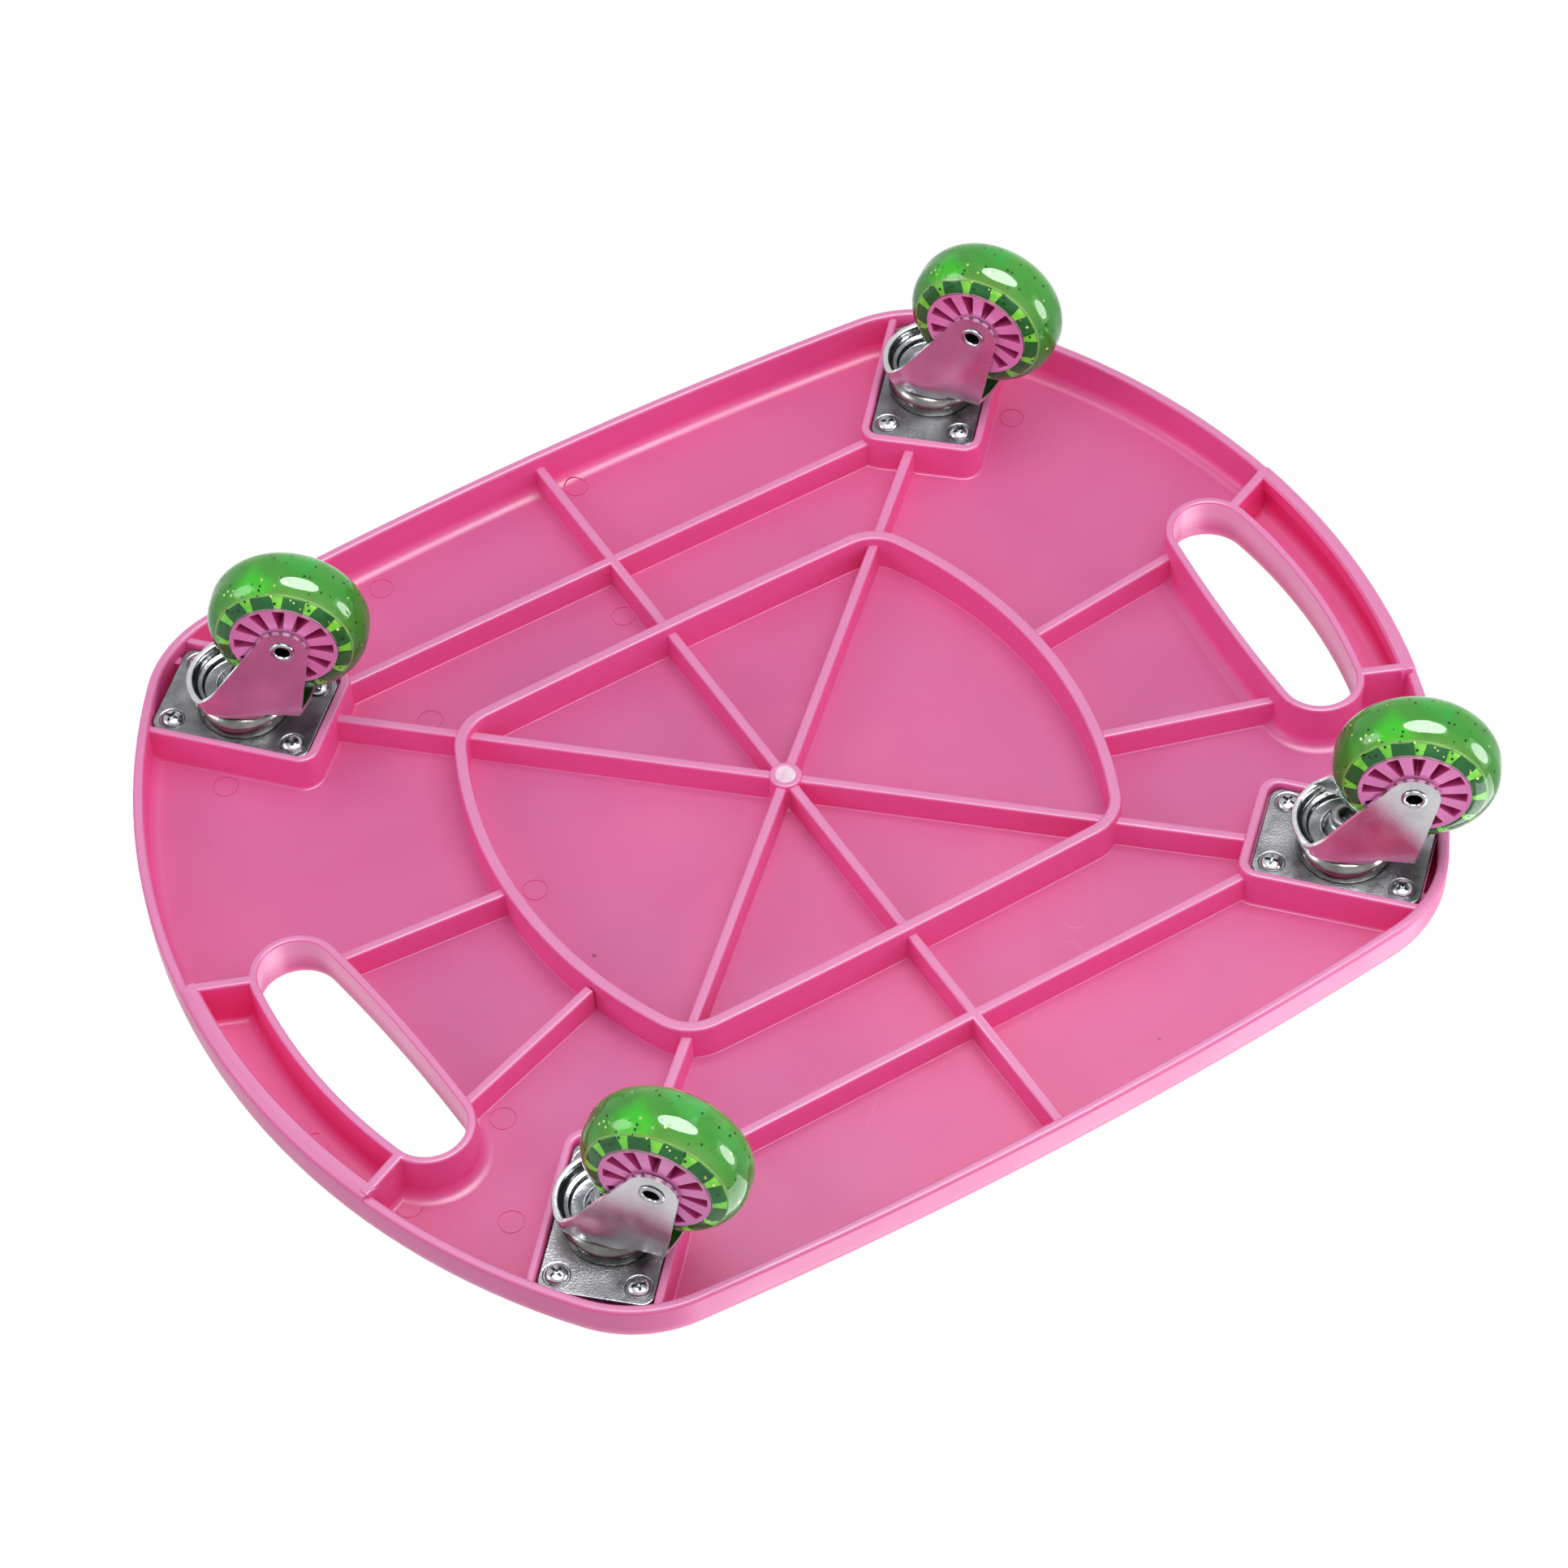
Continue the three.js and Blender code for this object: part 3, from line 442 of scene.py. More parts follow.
def corner_frame(corner):
    """From a corner's own frame, with X out to the corner, to the row's frame."""
    turn = atan2(corner["side_y"] * sin(PLATE_TURN), corner["side_x"] * cos(PLATE_TURN))
    place = (corner["side_x"] * CASTER_X, corner["side_y"] * CASTER_Y, 0)
    return Matrix.Translation(place) @ Matrix.Rotation(turn, 4, "Z")


def corner_point(corner, out, aside):
    x = CASTER_X + out * cos(PLATE_TURN) - aside * sin(PLATE_TURN)
    y = CASTER_Y + out * sin(PLATE_TURN) + aside * cos(PLATE_TURN)
    return corner["side_x"] * x, corner["side_y"] * y


def screw_places():
    return [(a * HOLES_LONG / 2, b * HOLES_WIDE / 2) for a in (-1, 1) for b in (-1, 1)]


def boss_room(corner):
    outline = rounded_box(BOSS_INNER_END, PLATE_LENGTH, BOSS_INNER_HALF, BOSS_OUTER_CORNER - 2.5)
    return placed(prism("room", outline, RIM_LIP_Z - OVERRUN, PANEL_Z), corner_frame(corner))


def boss_walls(corner):
    def outline_at(offset):
        extra = BOSS_END_WALL - BOSS_SIDE_WALL if offset > BOSS_SIDE_WALL / 2 else 0
        return rounded_box(BOSS_INNER_END - offset - extra, PLATE_LENGTH + offset, BOSS_INNER_HALF + offset,
                           BOSS_OUTER_CORNER - BOSS_SIDE_WALL + offset)

    section = wall_section(0, BOSS_SIDE_WALL, BOSS_LIP_Z, BOSS_FOOT)
    return placed(swept_wall("boss", outline_at, section), corner_frame(corner))


def boss_pad(corner):
    """The pad behind the plate, with a recess in its middle, the screws' holes and a nub beside it."""
    inner = BOSS_REACH - BOSS_END_WALL + SINK
    outline = rounded_box(-inner, PLATE_LENGTH / 2 + 0.4, BOSS_INNER_HALF + SINK, 1.5)
    pad = prism("pad", outline, PAD_Z, PANEL_Z + SINK)
    cuts = [prism("recess", rounded_box(-14, 14, 8, 2), PAD_Z - OVERRUN, PAD_Z + 6)]
    for place in screw_places():
        cuts.append(prism("hole", arc(place, 2.3, 0, 2 * pi, 16), PAD_Z - OVERRUN, PAD_Z + 10))
    nub = prism("nub", rounded_box(26, 29.5, 1.4, 0.4), RIB_EDGE_Z - 0.2, PANEL_Z + SINK)
    pad = combined(combined(pad, cuts, "DIFFERENCE"), [moved(nub, 0, 12.5)], "UNION")
    return placed(pad, corner_frame(corner))


def plate_room(corner):
    reach = PLATE_LENGTH / 2 + BOSS_SIDE_ROOM
    outline = rounded_box(-reach, reach, PLATE_WIDTH / 2 + BOSS_SIDE_ROOM, PLATE_CORNER + BOSS_SIDE_ROOM)
    return placed(prism("plate room", outline, RIM_LIP_Z - OVERRUN, PAD_Z), corner_frame(corner))


def slot_wall(side):
    section = wall_section(0, SLOT_WALL, SLOT_LIP_Z, COVE_RADIUS)
    half = len(section) // 2
    straight = [(0 if i >= half and level > SLOT_LIP_Z + LIP_ROUND else offset, level)
                for i, (offset, level) in enumerate(section)]
    return swept_wall("slot wall", lambda offset: on_side(slot_outline(offset), side), straight)


def slot_opening(side):
    layers = [(LIP_ROUND, SLOT_LIP_Z - OVERRUN)] + raised(SLOT_LIP_Z, rolled(LIP_ROUND))
    layers += raised(TOP_Z - SLOT_EDGE_RADIUS, bend(SLOT_EDGE_RADIUS, FINE["edge"] * 2))
    layers.append((SLOT_EDGE_RADIUS, TOP_Z + OVERRUN))
    return stack("slot opening", [(on_side(slot_outline(out), side), level) for out, level in layers])


def pocket_walls(side):
    walls = []
    for start, end in ((SLOT_NEAR, POCKET_NEAR), (SLOT_FAR, POCKET_FAR)):
        start, end = Vector((side * start[0], start[1])), Vector((side * end[0], end[1]))
        past = end + (end - start).normalized() * RIM_WALL
        walls.append(rib(start, past, SLOT_LIP_Z, POCKET_WALL, POCKET_FOOT))
    return walls


def raised_rim(side):
    """The rim stands taller beside the pocket, with a wider lip that is round on its outside."""
    outer = [(RIM_BULGE * sin(t) - 3 * (1 - sin(t)), 2.6 * (1 - cos(t))) for t in quarter_turn(FINE["edge"])]
    outer += [(0.6, RIM_STEP_HEIGHT), (-0.2, RIM_STEP_HEIGHT + 1.2)]
    wide = -RIM_WALL - RIM_STEP
    section = raised(SLOT_LIP_Z, outer + [(wide, RIM_STEP_HEIGHT + 1.2), (wide, 0.8), (-RIM_WALL - 0.6, 0)])
    band = swept_wall("raised rim", lambda offset: oblong(BOARD, offset - RIM_BULGE), section)
    low, far = POCKET_NEAR[1] - POCKET_MARGIN, POCKET_FAR[1] + POCKET_MARGIN
    window = prism("window", rounded_box(-60, 60, (far - low) / 2, 2), SLOT_LIP_Z - OVERRUN, PANEL_Z)
    return combined(band, [moved(window, side * BOARD["half_length"], (low + far) / 2)], "INTERSECT")


def centre_boss():
    rim, lip = CENTRE_BOSS_RADIUS, RIB_EDGE_Z - 0.9
    profile = raised(lip, [(0, 0.5), (GATE_RADIUS - 0.3, 0.5), (GATE_RADIUS, 0.2), (rim - 1.4, 0)])
    profile += [(rim - 0.8 + 0.8 * sin(t), lip + 0.8 * (1 - cos(t))) for t in (0.4, 0.8, 1.2, pi / 2)]
    profile += [(rim + out, PANEL_Z - 1.3 + up) for out, up in bend(1.3, 4)]
    return turned("centre boss", profile + [(rim + 1.3, PANEL_Z + SINK), (0, PANEL_Z + SINK)])


def pin_marks():
    """Shallow round grooves where the mould's pins pushed the deck out."""
    profile = raised(PANEL_Z, [(PIN_MARK_RADIUS - 0.3, -OVERRUN), (PIN_MARK_RADIUS - 0.2, PIN_MARK_DEPTH),
                               (PIN_MARK_RADIUS + 0.1, PIN_MARK_DEPTH), (PIN_MARK_RADIUS + 0.25, -OVERRUN)])
    return [moved(turned("mark", profile, FINE["small"]), x, y) for x, y in PIN_MARKS]


def in_slot(middle, normal):
    """Whether a face is on the upright inside of a hand slot."""
    if abs(middle.x) < SLOT_FAR[0] - 2 * SLOT_END_RADIUS or abs(normal.z) > 0.3:
        return False
    here = Vector((abs(middle.x), middle.y))
    points = [Vector(point) for point in slot_outline()]
    for start, end in zip(points, points[1:] + points[:1]):
        along = end - start
        share = min(1, max(0, (here - start).dot(along) / along.length_squared))
        if (start.lerp(end, share) - here).length < 0.3:
            return True
    return False


def in_pocket(middle, normal):
    """Whether a face is inside a pocket, between a hand slot and the rim."""
    here = Vector((abs(middle.x), middle.y))
    if not SLOT_LIP_Z + 1 < middle.z < PANEL_Z + 0.5 or beyond(BOARD, middle.x, middle.y) > -RIM_WALL + 1:
        return False

    def from_line(start, end):
        start, along = Vector(start), (Vector(end) - Vector(start)).normalized()
        return along.x * (here.y - start.y) - along.y * (here.x - start.x)

    slot_side = -from_line(SLOT_NEAR, SLOT_FAR) - SLOT_END_RADIUS
    return from_line(SLOT_NEAR, POCKET_NEAR) > 1 and from_line(SLOT_FAR, POCKET_FAR) < -1 and slot_side > 0.5


def build_deck(material, outside, slot_glow_face, pocket, gate):
    width, long_end = BOARD["half_width"], CASTER_X - BOSS_REACH
    ribs = [rib((0, -width), (0, width))]
    for side in (-1, 1):
        ribs.append(rib((-long_end, side * LONG_RIB_Y), (long_end, side * LONG_RIB_Y)))
        for (from_x, from_y), (to_x, to_y) in HANDLE_RIBS:
            ribs.append(rib((side * from_x, from_y), (side * to_x, to_y)))
    for corner in CORNERS:
        ribs.append(rib((0, 0), corner_point(corner, BOSS_END_WALL / 2 - BOSS_REACH, DIAGONAL_OFFSET)))
    inside = combined(ribs[0], ribs[1:], "UNION")
    inside = combined(inside, [boss_room(corner) for corner in CORNERS], "DIFFERENCE")
    ring_section = wall_section(-RING_WALL, 0, RING_LIP_Z)
    joined = [centre_boss(), swept_wall("ring", lambda offset: oblong(RING, offset), ring_section)]
    for corner in CORNERS:
        joined += [boss_walls(corner), boss_pad(corner)]
    for side in (-1, 1):
        joined += [slot_wall(side), *pocket_walls(side), raised_rim(side)]
    inside = combined(inside, joined, "UNION")
    inside = combined(inside, [board_body(SLOT_LIP_Z - OVERRUN, "envelope")], "INTERSECT")
    deck = combined(board_body(RIM_LIP_Z, "deck", rolled(RIM_LIP_ROUND)), [cavity()], "DIFFERENCE")
    deck = combined(deck, pin_marks(), "DIFFERENCE")
    deck = combined(deck, [inside], "UNION")
    cuts = [slot_opening(-1), slot_opening(1)] + [plate_room(corner) for corner in CORNERS]
    deck = combined(deck, cuts, "DIFFERENCE")
    shell = pattern(deck, material)
    # Painted light: the outside faces and the top get the paler copy of the plastic
    paint(shell, outside, lambda middle, normal: (
        middle.z > PANEL_Z + 1 or beyond(BOARD, middle.x, middle.y) > -0.9 and normal.z > -0.45))
    # Painted light: the pockets get the brighter copy of the plastic
    paint(shell, pocket, in_pocket)
    # Painted backlight glow on the slots' upright insides
    paint(shell, slot_glow_face, in_slot)
    paint(shell, gate, lambda middle, normal: (
        hypot(middle.x, middle.y) < GATE_RADIUS and middle.z < RIB_EDGE_Z))
    put(shell, "deck_shell", Matrix.Identity(4), "board", "deck_plastic", "deck")


# Casters: pieces on the plate stand in the corner's frame, and turning pieces in the swivel's,
# with X along the trail and Y along the axle.

def swivel_frame(corner):
    place = (corner["side_x"] * CASTER_X, corner["side_y"] * CASTER_Y, 0)
    return Matrix.Translation(place) @ Matrix.Rotation(radians(corner["swivel"]), 4, "Z")


def wheel_frame(corner):
    return swivel_frame(corner) @ Matrix.Translation((TRAIL, 0, AXLE_Z))


def in_metres(matrix):
    scaled = matrix.copy()
    scaled.translation *= MM
    return scaled


def on_axle(piece):
    """From a piece turned about Z to one turned about Y."""
    return placed(piece, Matrix.Rotation(-pi / 2, 4, "X"))


def plate_mesh():
    def outline(inset):
        half = PLATE_LENGTH / 2 - inset
        return rounded_box(-half, half, PLATE_WIDTH / 2 - inset, PLATE_CORNER - inset, 12)

    edge = [(0.45 * (1 - sin(t)), 0.45 * (1 - cos(t))) for t in (0, 0.4, 0.8, 1.2, pi / 2)]
    layers = [(outline(inset), PLATE_FACE_Z + up) for inset, up in edge] + [(outline(0), PLATE_TOP_Z)]
    dimple = raised(PLATE_FACE_Z, [(0, -1), (4.5, -1), (4.5, 0), (4.15, 0.12), (3.9, 0.45), (0, 0.5)])
    dimples = [moved(turned("dimple", dimple, 48), a, b) for a, b in screw_places()]
    return combined(stack("plate", layers), dimples, "DIFFERENCE")


def screw_mesh():
    """A pan-head screw with a cross recess. Its axis is the Z axis."""
    crown = SCREW_CROWN_Z
    head = [(0, 0), (1.2, 0.02), (2.1, 0.18), (2.8, 0.5), (3.3, 1.0), (SCREW_HEAD_RADIUS, 1.5),
            (SCREW_HEAD_RADIUS, 1.8), (1.9, 1.8), (1.9, 9), (0, 10.5)]
    screw = turned("screw", raised(crown, head), 56)
    wings = []
    for turn in (0.25, 0.25 + pi / 2):
        low, high = [[(-x, -y), (x, -y), (x, y), (-x, y)] for x, y in ((2.3, 0.5), (1.5, 0.4))]
        wing = stack("wing", [(low, crown - 0.5), (low, crown), (high, crown + 1.25)])
        wings.append(placed(wing, Matrix.Rotation(turn, 4, "Z")))
    middle = raised(crown, [(0, -0.5), (0.95, -0.5), (0.95, 0.1), (0.55, 1.25), (0, 1.5)])
    return combined(screw, wings + [turned("middle", middle, 24)], "DIFFERENCE")


def race_mesh():
    top = PLATE_FACE_Z - SEAT_GAP
    bead = [(8.5, 0), (11.6, 0), (12.8, 0.25), (13.9, 0.95), (14.7, 2.0), (15.15, 3.2), (15.3, 4.4)]
    profile = [(8.5, top)] + raised(top - RACE_HEIGHT, bead) + [(15.3, top - 0.5), (15.1, top)]
    return turned("race", profile, 96)


def kingpin_mesh():
    head = CUP_Z - CONE_DROP - SEAT_GAP
    button = [(0, 3), (2.3, 3), (2.45, 0.5), (2.9, 0), (4.2, 0), (4.8, 0.2), (5.1, 0.7)]
    shank = [(5.1, head), (PIN_RADIUS, head), (PIN_RADIUS, PLATE_TOP_Z + 1.5), (0, PLATE_TOP_Z + 1.5)]
    return turned("kingpin", raised(head - 1.9, button) + shank, 48)


def cup_mesh():
    """The fork's cup: a beaded rim, a stepped trough and a cone in the middle."""
    rim = CUP_Z - CUP_DROP
    profile = raised(CUP_Z, [
        (3.3, -6.2), (4.9, -6.2), (5.4, -6.0), (5.9, -5.3), (7.4, -2.4), (8.1, -1.7), (9.0, -1.45),
        (11.3, -1.45), (11.9, -1.7), (12.2, -2.5), (12.6, -3.2), (13.7, -3.5), (14.3, -3.9), (14.8, -5.2)])
    profile += raised(rim, [
        (15.3, 0.35), (15.8, 0.05), (16.4, 0), (16.95, 0.1), (17.25, 0.45),
        (17.3, 0.9), (17.25, 1.7), (16.8, 3.0), (15.8, 4.6), (14.6, 5.8)])
    profile += raised(CUP_Z, [
        (13.4, -0.1), (12.6, 0), (8.0, 0), (7.0, -0.4), (5.2, -4.0), (4.6, -4.6), (3.3, -4.6)])
    rough = random.Random(4)
    rings = []
    for i in range(CUP_STEPS):
        angle = 2 * pi * i / CUP_STEPS
        ring = []
        for r, z in profile:
            knurl = 0.09 * (rough.random() - 0.5) if 15.2 < r < 17.28 and z < rim + 0.8 else 0
            ring.append(((r + knurl) * cos(angle), (r + knurl) * sin(angle), z + knurl))
        rings.append(ring)
    return mesh_object("cup", *skin(rings, closed=True))


def cup_radius(z):
    """How far out the cup's wall stands at a level."""
    deep = min(1, max(0, (z - (CUP_Z - 5.2)) / 5.2))
    return 17.34 - 3.9 * deep**2.2


def leg_face(x, z):
    """How far out the leg's outer face stands: flat, swollen at its root and round the cup at its toe."""
    near = min(1, max(0, (z - (CUP_Z - 16)) / 13))
    root = near * near * (3 - 2 * near)
    flat = LEG_INNER + LEG_THICKNESS + LEG_SWELL * root * exp(-((x + 2) / 8) ** 2)
    around = sqrt(max(1, (cup_radius(z) + 0.06) ** 2 - min(0, x) ** 2))
    blend = 0.6
    share = min(1, max(0, 0.5 + 0.5 * (around - flat) / blend))
    return around * (1 - share) + flat * share - blend * share * (1 - share)


def leg_outline():
    """Two edges of the leg from the middle of its tip to its root, with as many points each."""
    tip = Vector((TRAIL, AXLE_Z))
    rim = CUP_Z - CUP_DROP
    toe = Vector((-TOE_REACH, rim))
    heel = Vector((HEEL_REACH, HEEL_Z))

    def tangent(point, side):
        away = point - tip
        return atan2(away.y, away.x) + side * acos(LEG_TIP / away.length)

    def round_tip(end):
        middle, steps = -pi / 2 - 0.35, 14
        turns = [middle + (end - middle) * i / steps for i in range(steps + 1)]
        return [(tip.x + LEG_TIP * cos(a), tip.y + LEG_TIP * sin(a)) for a in turns]

    def line(start, end, steps):
        return [tuple(start.lerp(end, i / steps)) for i in range(1, steps + 1)]

    front, back = tangent(toe, 1), tangent(heel, -1)
    front = front if front > 0 else front + 2 * pi
    left, right = round_tip(front - 2 * pi), round_tip(back)
    start = Vector(left[-1])
    bent = start.lerp(toe, 0.82)
    left += line(start, bent, 16)
    corner, end = toe + Vector((-0.6, 0.3)), Vector((-14, rim + 0.55))
    for i in range(1, 9):
        t = i / 8
        left.append(tuple(bent * (1 - t) ** 2 + corner * 2 * t * (1 - t) + end * t * t))
    left.append((-14, TOE_Z - 0.8))
    start = Vector(right[-1])
    lower = start.lerp(heel, 0.9)
    return left, right + line(start, lower, 16) + line(lower, heel, 9)


def heel_plate():
    """The fork's top between its heels: it slopes with the legs' edges, and its own edge bows out."""
    half = LEG_INNER + 0.5
    radius = (half * half + HEEL_BOW * HEEL_BOW) / (2 * HEEL_BOW)
    spread = asin(half / radius)
    outline = arc((HEEL_REACH + HEEL_BOW - radius, 0), radius, -spread, spread, 24)
    outline += [(HEEL_REACH, half), (2, half), (2, -half)]
    slope = (TOE_Z - HEEL_Z) / (HEEL_REACH + TOE_REACH)
    layers = []
    for under in (1.5, 0.1):
        layers.append([(x, y, TOE_Z - slope * (x + TOE_REACH) - under) for x, y in outline])
    plate = mesh_object("heel plate", *skin(layers))
    return combined(plate, [prism("trough", circle(14.9, 72), CUP_Z - 20, CUP_Z + 5)], "DIFFERENCE")


def leg_mesh(side):
    left, right = leg_outline()
    across = 26
    points = []
    for (lx, lz), (rx, rz) in zip(left[1:], right[1:]):
        points.append([(lx + (rx - lx) * i / across, lz + (rz - lz) * i / across) for i in range(across + 1)])
    outer = [[(x, side * leg_face(x, z), z) for x, z in row] for row in points]
    inner = [[(x, side * (leg_face(x, z) - LEG_THICKNESS), z) for x, z in row] for row in points]
    verts, faces = [], []
    width = across + 1
    rows = len(points)
    for grid in (outer, inner):
        for row in grid:
            verts += row
    tip_x, tip_z = left[0]
    half = rows * width
    tips = (2 * half, 2 * half + 1)
    tip_face = leg_face(tip_x, tip_z)
    verts += [(tip_x, side * tip_face, tip_z), (tip_x, side * (tip_face - LEG_THICKNESS), tip_z)]
    for base, tip in ((0, tips[0]), (half, tips[1])):
        for r in range(rows - 1):
            for i in range(across):
                a = base + r * width + i
                faces.append((a, a + 1, a + 1 + width, a + width))
        faces.append(tuple([tip] + [base + i for i in range(width)]))
    border = [tips[0]] + [r * width for r in range(rows)] + [(rows - 1) * width + i for i in range(1, width)]
    border += [r * width + across for r in reversed(range(rows - 1))]
    inner_border = [tips[1]] + [b + half for b in border[1:]]
    for i in range(len(border)):
        j = (i + 1) % len(border)
        faces.append((border[i], border[j], inner_border[j], inner_border[i]))
    leg = mesh_object("leg", verts, faces)
    return applied(leg, "BEVEL", width=0.4, segments=3, limit_method="ANGLE", angle_limit=radians(50))


def fork_mesh():
    hole = on_axle(prism("axle hole", circle(AXLE_HOLE_RADIUS, 48), -20, 20))
    between = prism("between", [(-30, -12.9), (40, -12.9), (40, 12.9), (-30, 12.9)], AXLE_Z, CUP_Z + 5)
    fork = combined(cup_mesh(), [between], "INTERSECT")
    fork = combined(fork, [heel_plate(), leg_mesh(1), leg_mesh(-1)], "UNION")
    return combined(fork, [moved(hole, TRAIL, 0, AXLE_Z)], "DIFFERENCE")


def axle_mesh():
    """A hollow rivet, rolled out at both ends."""
    roll = [(2.35, -0.6), (2.45, 0), (2.75, 0.42), (3.15, 0.55), (3.55, 0.45), (3.85, 0.2), (3.95, 0),
            (3.85, -0.12), (2.7, -0.12)]
    return on_axle(turned("axle", mirrored(raised(LEG_INNER + LEG_THICKNESS + SEAT_GAP, roll)), 56))


def slot_cutter():
    """A tapered slot with round corners, at the top of the hub's front face."""
    inner, top = HUB_SLOT_INNER, HUB_SLOT_OUTER - SLOT_TIP_ROUND
    low, high = 0.8, 2.0 - SLOT_TIP_ROUND
    points = arc((high, top), SLOT_TIP_ROUND, 0, pi / 2, 4) + arc((-high, top), SLOT_TIP_ROUND, pi / 2, pi, 4)
    points += arc((0, inner + low), low, pi, 2 * pi, 8) + [(low, inner + low)]
    sizes = raised(HUB_HALF, [(0.86, -HUB_SLOT_DEPTH), (1.0, -0.35), (1.16, 0.2), (1.16, 1)])
    shape = lambda k: [(x * k, inner + (y - inner) * (0.5 + 0.5 * k)) for x, y in points]
    return stack("slot", [(shape(k), level) for k, level in sizes])


def hub_mesh():
    half = HUB_HALF
    profile = mirrored([
        (4.5, -5.0), (6.8, -5.0), (6.8, -half), (7.6, -half), (7.75, -half + 0.1), (16.5, -half + 0.1),
        (16.75, -half), (HUB_RADIUS - 0.25, -half), (HUB_RADIUS, -half + HUB_BEVEL)])
    slots = []
    for i in range(SPOKES):
        for flip in (0, pi):
            slot = placed(slot_cutter(), Matrix.Rotation(flip, 4, "Y"))
            slots.append(placed(slot, Matrix.Rotation(2 * pi * i / SPOKES, 4, "Z")))
    hub = combined(turned("hub", profile, 120), hub_lugs(0), "UNION")
    return on_axle(combined(hub, slots, "DIFFERENCE"))


def lug_end(radius):
    """How far from the hub's middle the lugs end. Their ends slope as the tyre's side does."""
    return LUG_HALF - LUG_SLOPE * max(0, radius - HUB_RADIUS)


def hub_lugs(room):
    """The lugs round the hub, each between two slots, grown by room."""
    half = LUG_WIDTH / 2 + room
    box = rounded_box(HUB_RADIUS, LUG_RADIUS + room, half, 0.4, 3)
    outline = [(x, y) for x, y in box if x > HUB_RADIUS + 0.5]
    outline += [(HUB_RADIUS, half), (HUB_RADIUS - 1.5, half), (HUB_RADIUS - 1.5, -half), (HUB_RADIUS, -half)]
    ends = [[(x, y, side * (lug_end(x) + room)) for x, y in outline] for side in (-1, 1)]
    turns = [2 * pi * (i + 0.5) / SPOKES + pi / 2 for i in range(SPOKES)]
    return [placed(mesh_object("lug", *skin(ends)), Matrix.Rotation(turn, 4, "Z")) for turn in turns]


def core_mesh():
    """The first casting round the hub. It covers the lugs from outside, and their ends stand out of it."""
    bevel = 0.35
    level = lambda radius: lug_end(radius) - CORE_STEP
    side = [(HUB_RADIUS + 0.05, level(HUB_RADIUS))]
    side += [(r, level(r)) for r in (LUG_RADIUS + 0.1, CORE_RADIUS - bevel)]
    side.append((CORE_RADIUS, level(CORE_RADIUS) - bevel))
    profile = [(r, -y) for r, y in side] + side[::-1]
    return on_axle(combined(turned("core", profile, 120), hub_lugs(0.08), "DIFFERENCE"))


def tyre_point(angle, inset=0.0):
    """A point of the tyre's profile (radius, half width), from its side (0) to its tread (a quarter turn)."""
    reach = WHEEL_RADIUS - TYRE_CENTRE - inset
    half = TYRE_HALF - TREAD_FLAT - inset
    return TYRE_CENTRE + reach * sin(angle), TREAD_FLAT + half * cos(angle)


def tyre_mesh():
    start = asin((HUB_RADIUS - TYRE_CENTRE) / (WHEEL_RADIUS - TYRE_CENTRE))
    steps = 22
    side = [tyre_point(start + (pi / 2 - start) * i / steps) for i in range(steps + 1)]
    seat = [(HUB_RADIUS - 0.25, side[0][1] - 0.5), (HUB_RADIUS + 0.1, side[0][1] - 0.25)]
    return on_axle(turned("tyre", mirrored(seat + side), 144))


def flakes_mesh(count, seed, size, thick):
    """Glitter: small six-sided flakes that lie just under the tyre's surface."""
    rough = random.Random(seed)
    verts, faces = [], []
    for _ in range(count):
        turn = 2 * pi * rough.random()
        angle = 0.35 + 1.2 * rough.random()
        radius, y = tyre_point(angle, 0.35 + 0.9 * rough.random() ** 2)
        y *= rough.choice((-1, 1))
        centre = Vector((radius * cos(turn), y, radius * sin(turn)))
        aside = cos(angle) * (1 if y > 0 else -1)
        out = Vector((cos(turn) * sin(angle), aside, sin(turn) * sin(angle)))
        out += Vector([0.5 * (rough.random() - 0.5) for _ in range(3)])
        out.normalize()
        across = out.orthogonal().normalized()
        beside = out.cross(across)
        reach = size * (0.6 + 0.6 * rough.random())
        base = len(verts)
        for level in (-thick, thick):
            for k in range(6):
                a = pi / 3 * k
                verts.append(centre + reach * (across * cos(a) + beside * sin(a)) + out * level)
        faces += [tuple(base + k for k in reversed(range(6))), tuple(base + 6 + k for k in range(6))]
        faces += [(base + k, base + (k + 1) % 6, base + 6 + (k + 1) % 6, base + 6 + k) for k in range(6)]
    return mesh_object("flakes", verts, faces)


# Materials

def feed(tree, socket, value):
    """A socket gets another node's output, or a plain value."""
    if isinstance(value, bpy.types.NodeSocket):
        tree.links.new(value, socket)
    else:
        socket.default_value = value


def new_node(tree, kind, inputs=None, **settings):
    node = tree.nodes.new("ShaderNode" + kind)
    for name, value in settings.items():
        setattr(node, name, value)
    for socket, value in (inputs or {}).items():
        feed(tree, node.inputs[socket], value)
    return node


def new_material(name, inputs):
    material = bpy.data.materials.new(name)
    material.use_nodes = True
    tree = material.node_tree
    bsdf = tree.nodes["Principled BSDF"]
    for socket, value in inputs.items():
        feed(tree, bsdf.inputs[socket], value)
    return material, tree, bsdf


def coordinates(tree, kind="Object"):
    return new_node(tree, "TexCoord").outputs[kind]


def noise(tree, scale, detail=2.0, roughness=0.5, where=None):
    inputs = {"Scale": scale, "Detail": detail, "Roughness": roughness}
    inputs["Vector"] = coordinates(tree) if where is None else where
    return new_node(tree, "TexNoise", inputs).outputs["Fac"]


def ramp(tree, source, stops):
    node = new_node(tree, "ValToRGB", {"Fac": source})
    elements = node.color_ramp.elements
    while len(elements) < len(stops):
        elements.new(0.5)
    for element, (place, value) in zip(elements, stops):
        element.position = place
        element.color = (*value, 1) if isinstance(value, tuple) else (value, value, value, 1)
    return node.outputs["Color"]


def maths(tree, operation, *values, clamp=False):
    return new_node(tree, "Math", dict(enumerate(values)), operation=operation, use_clamp=clamp).outputs[0]


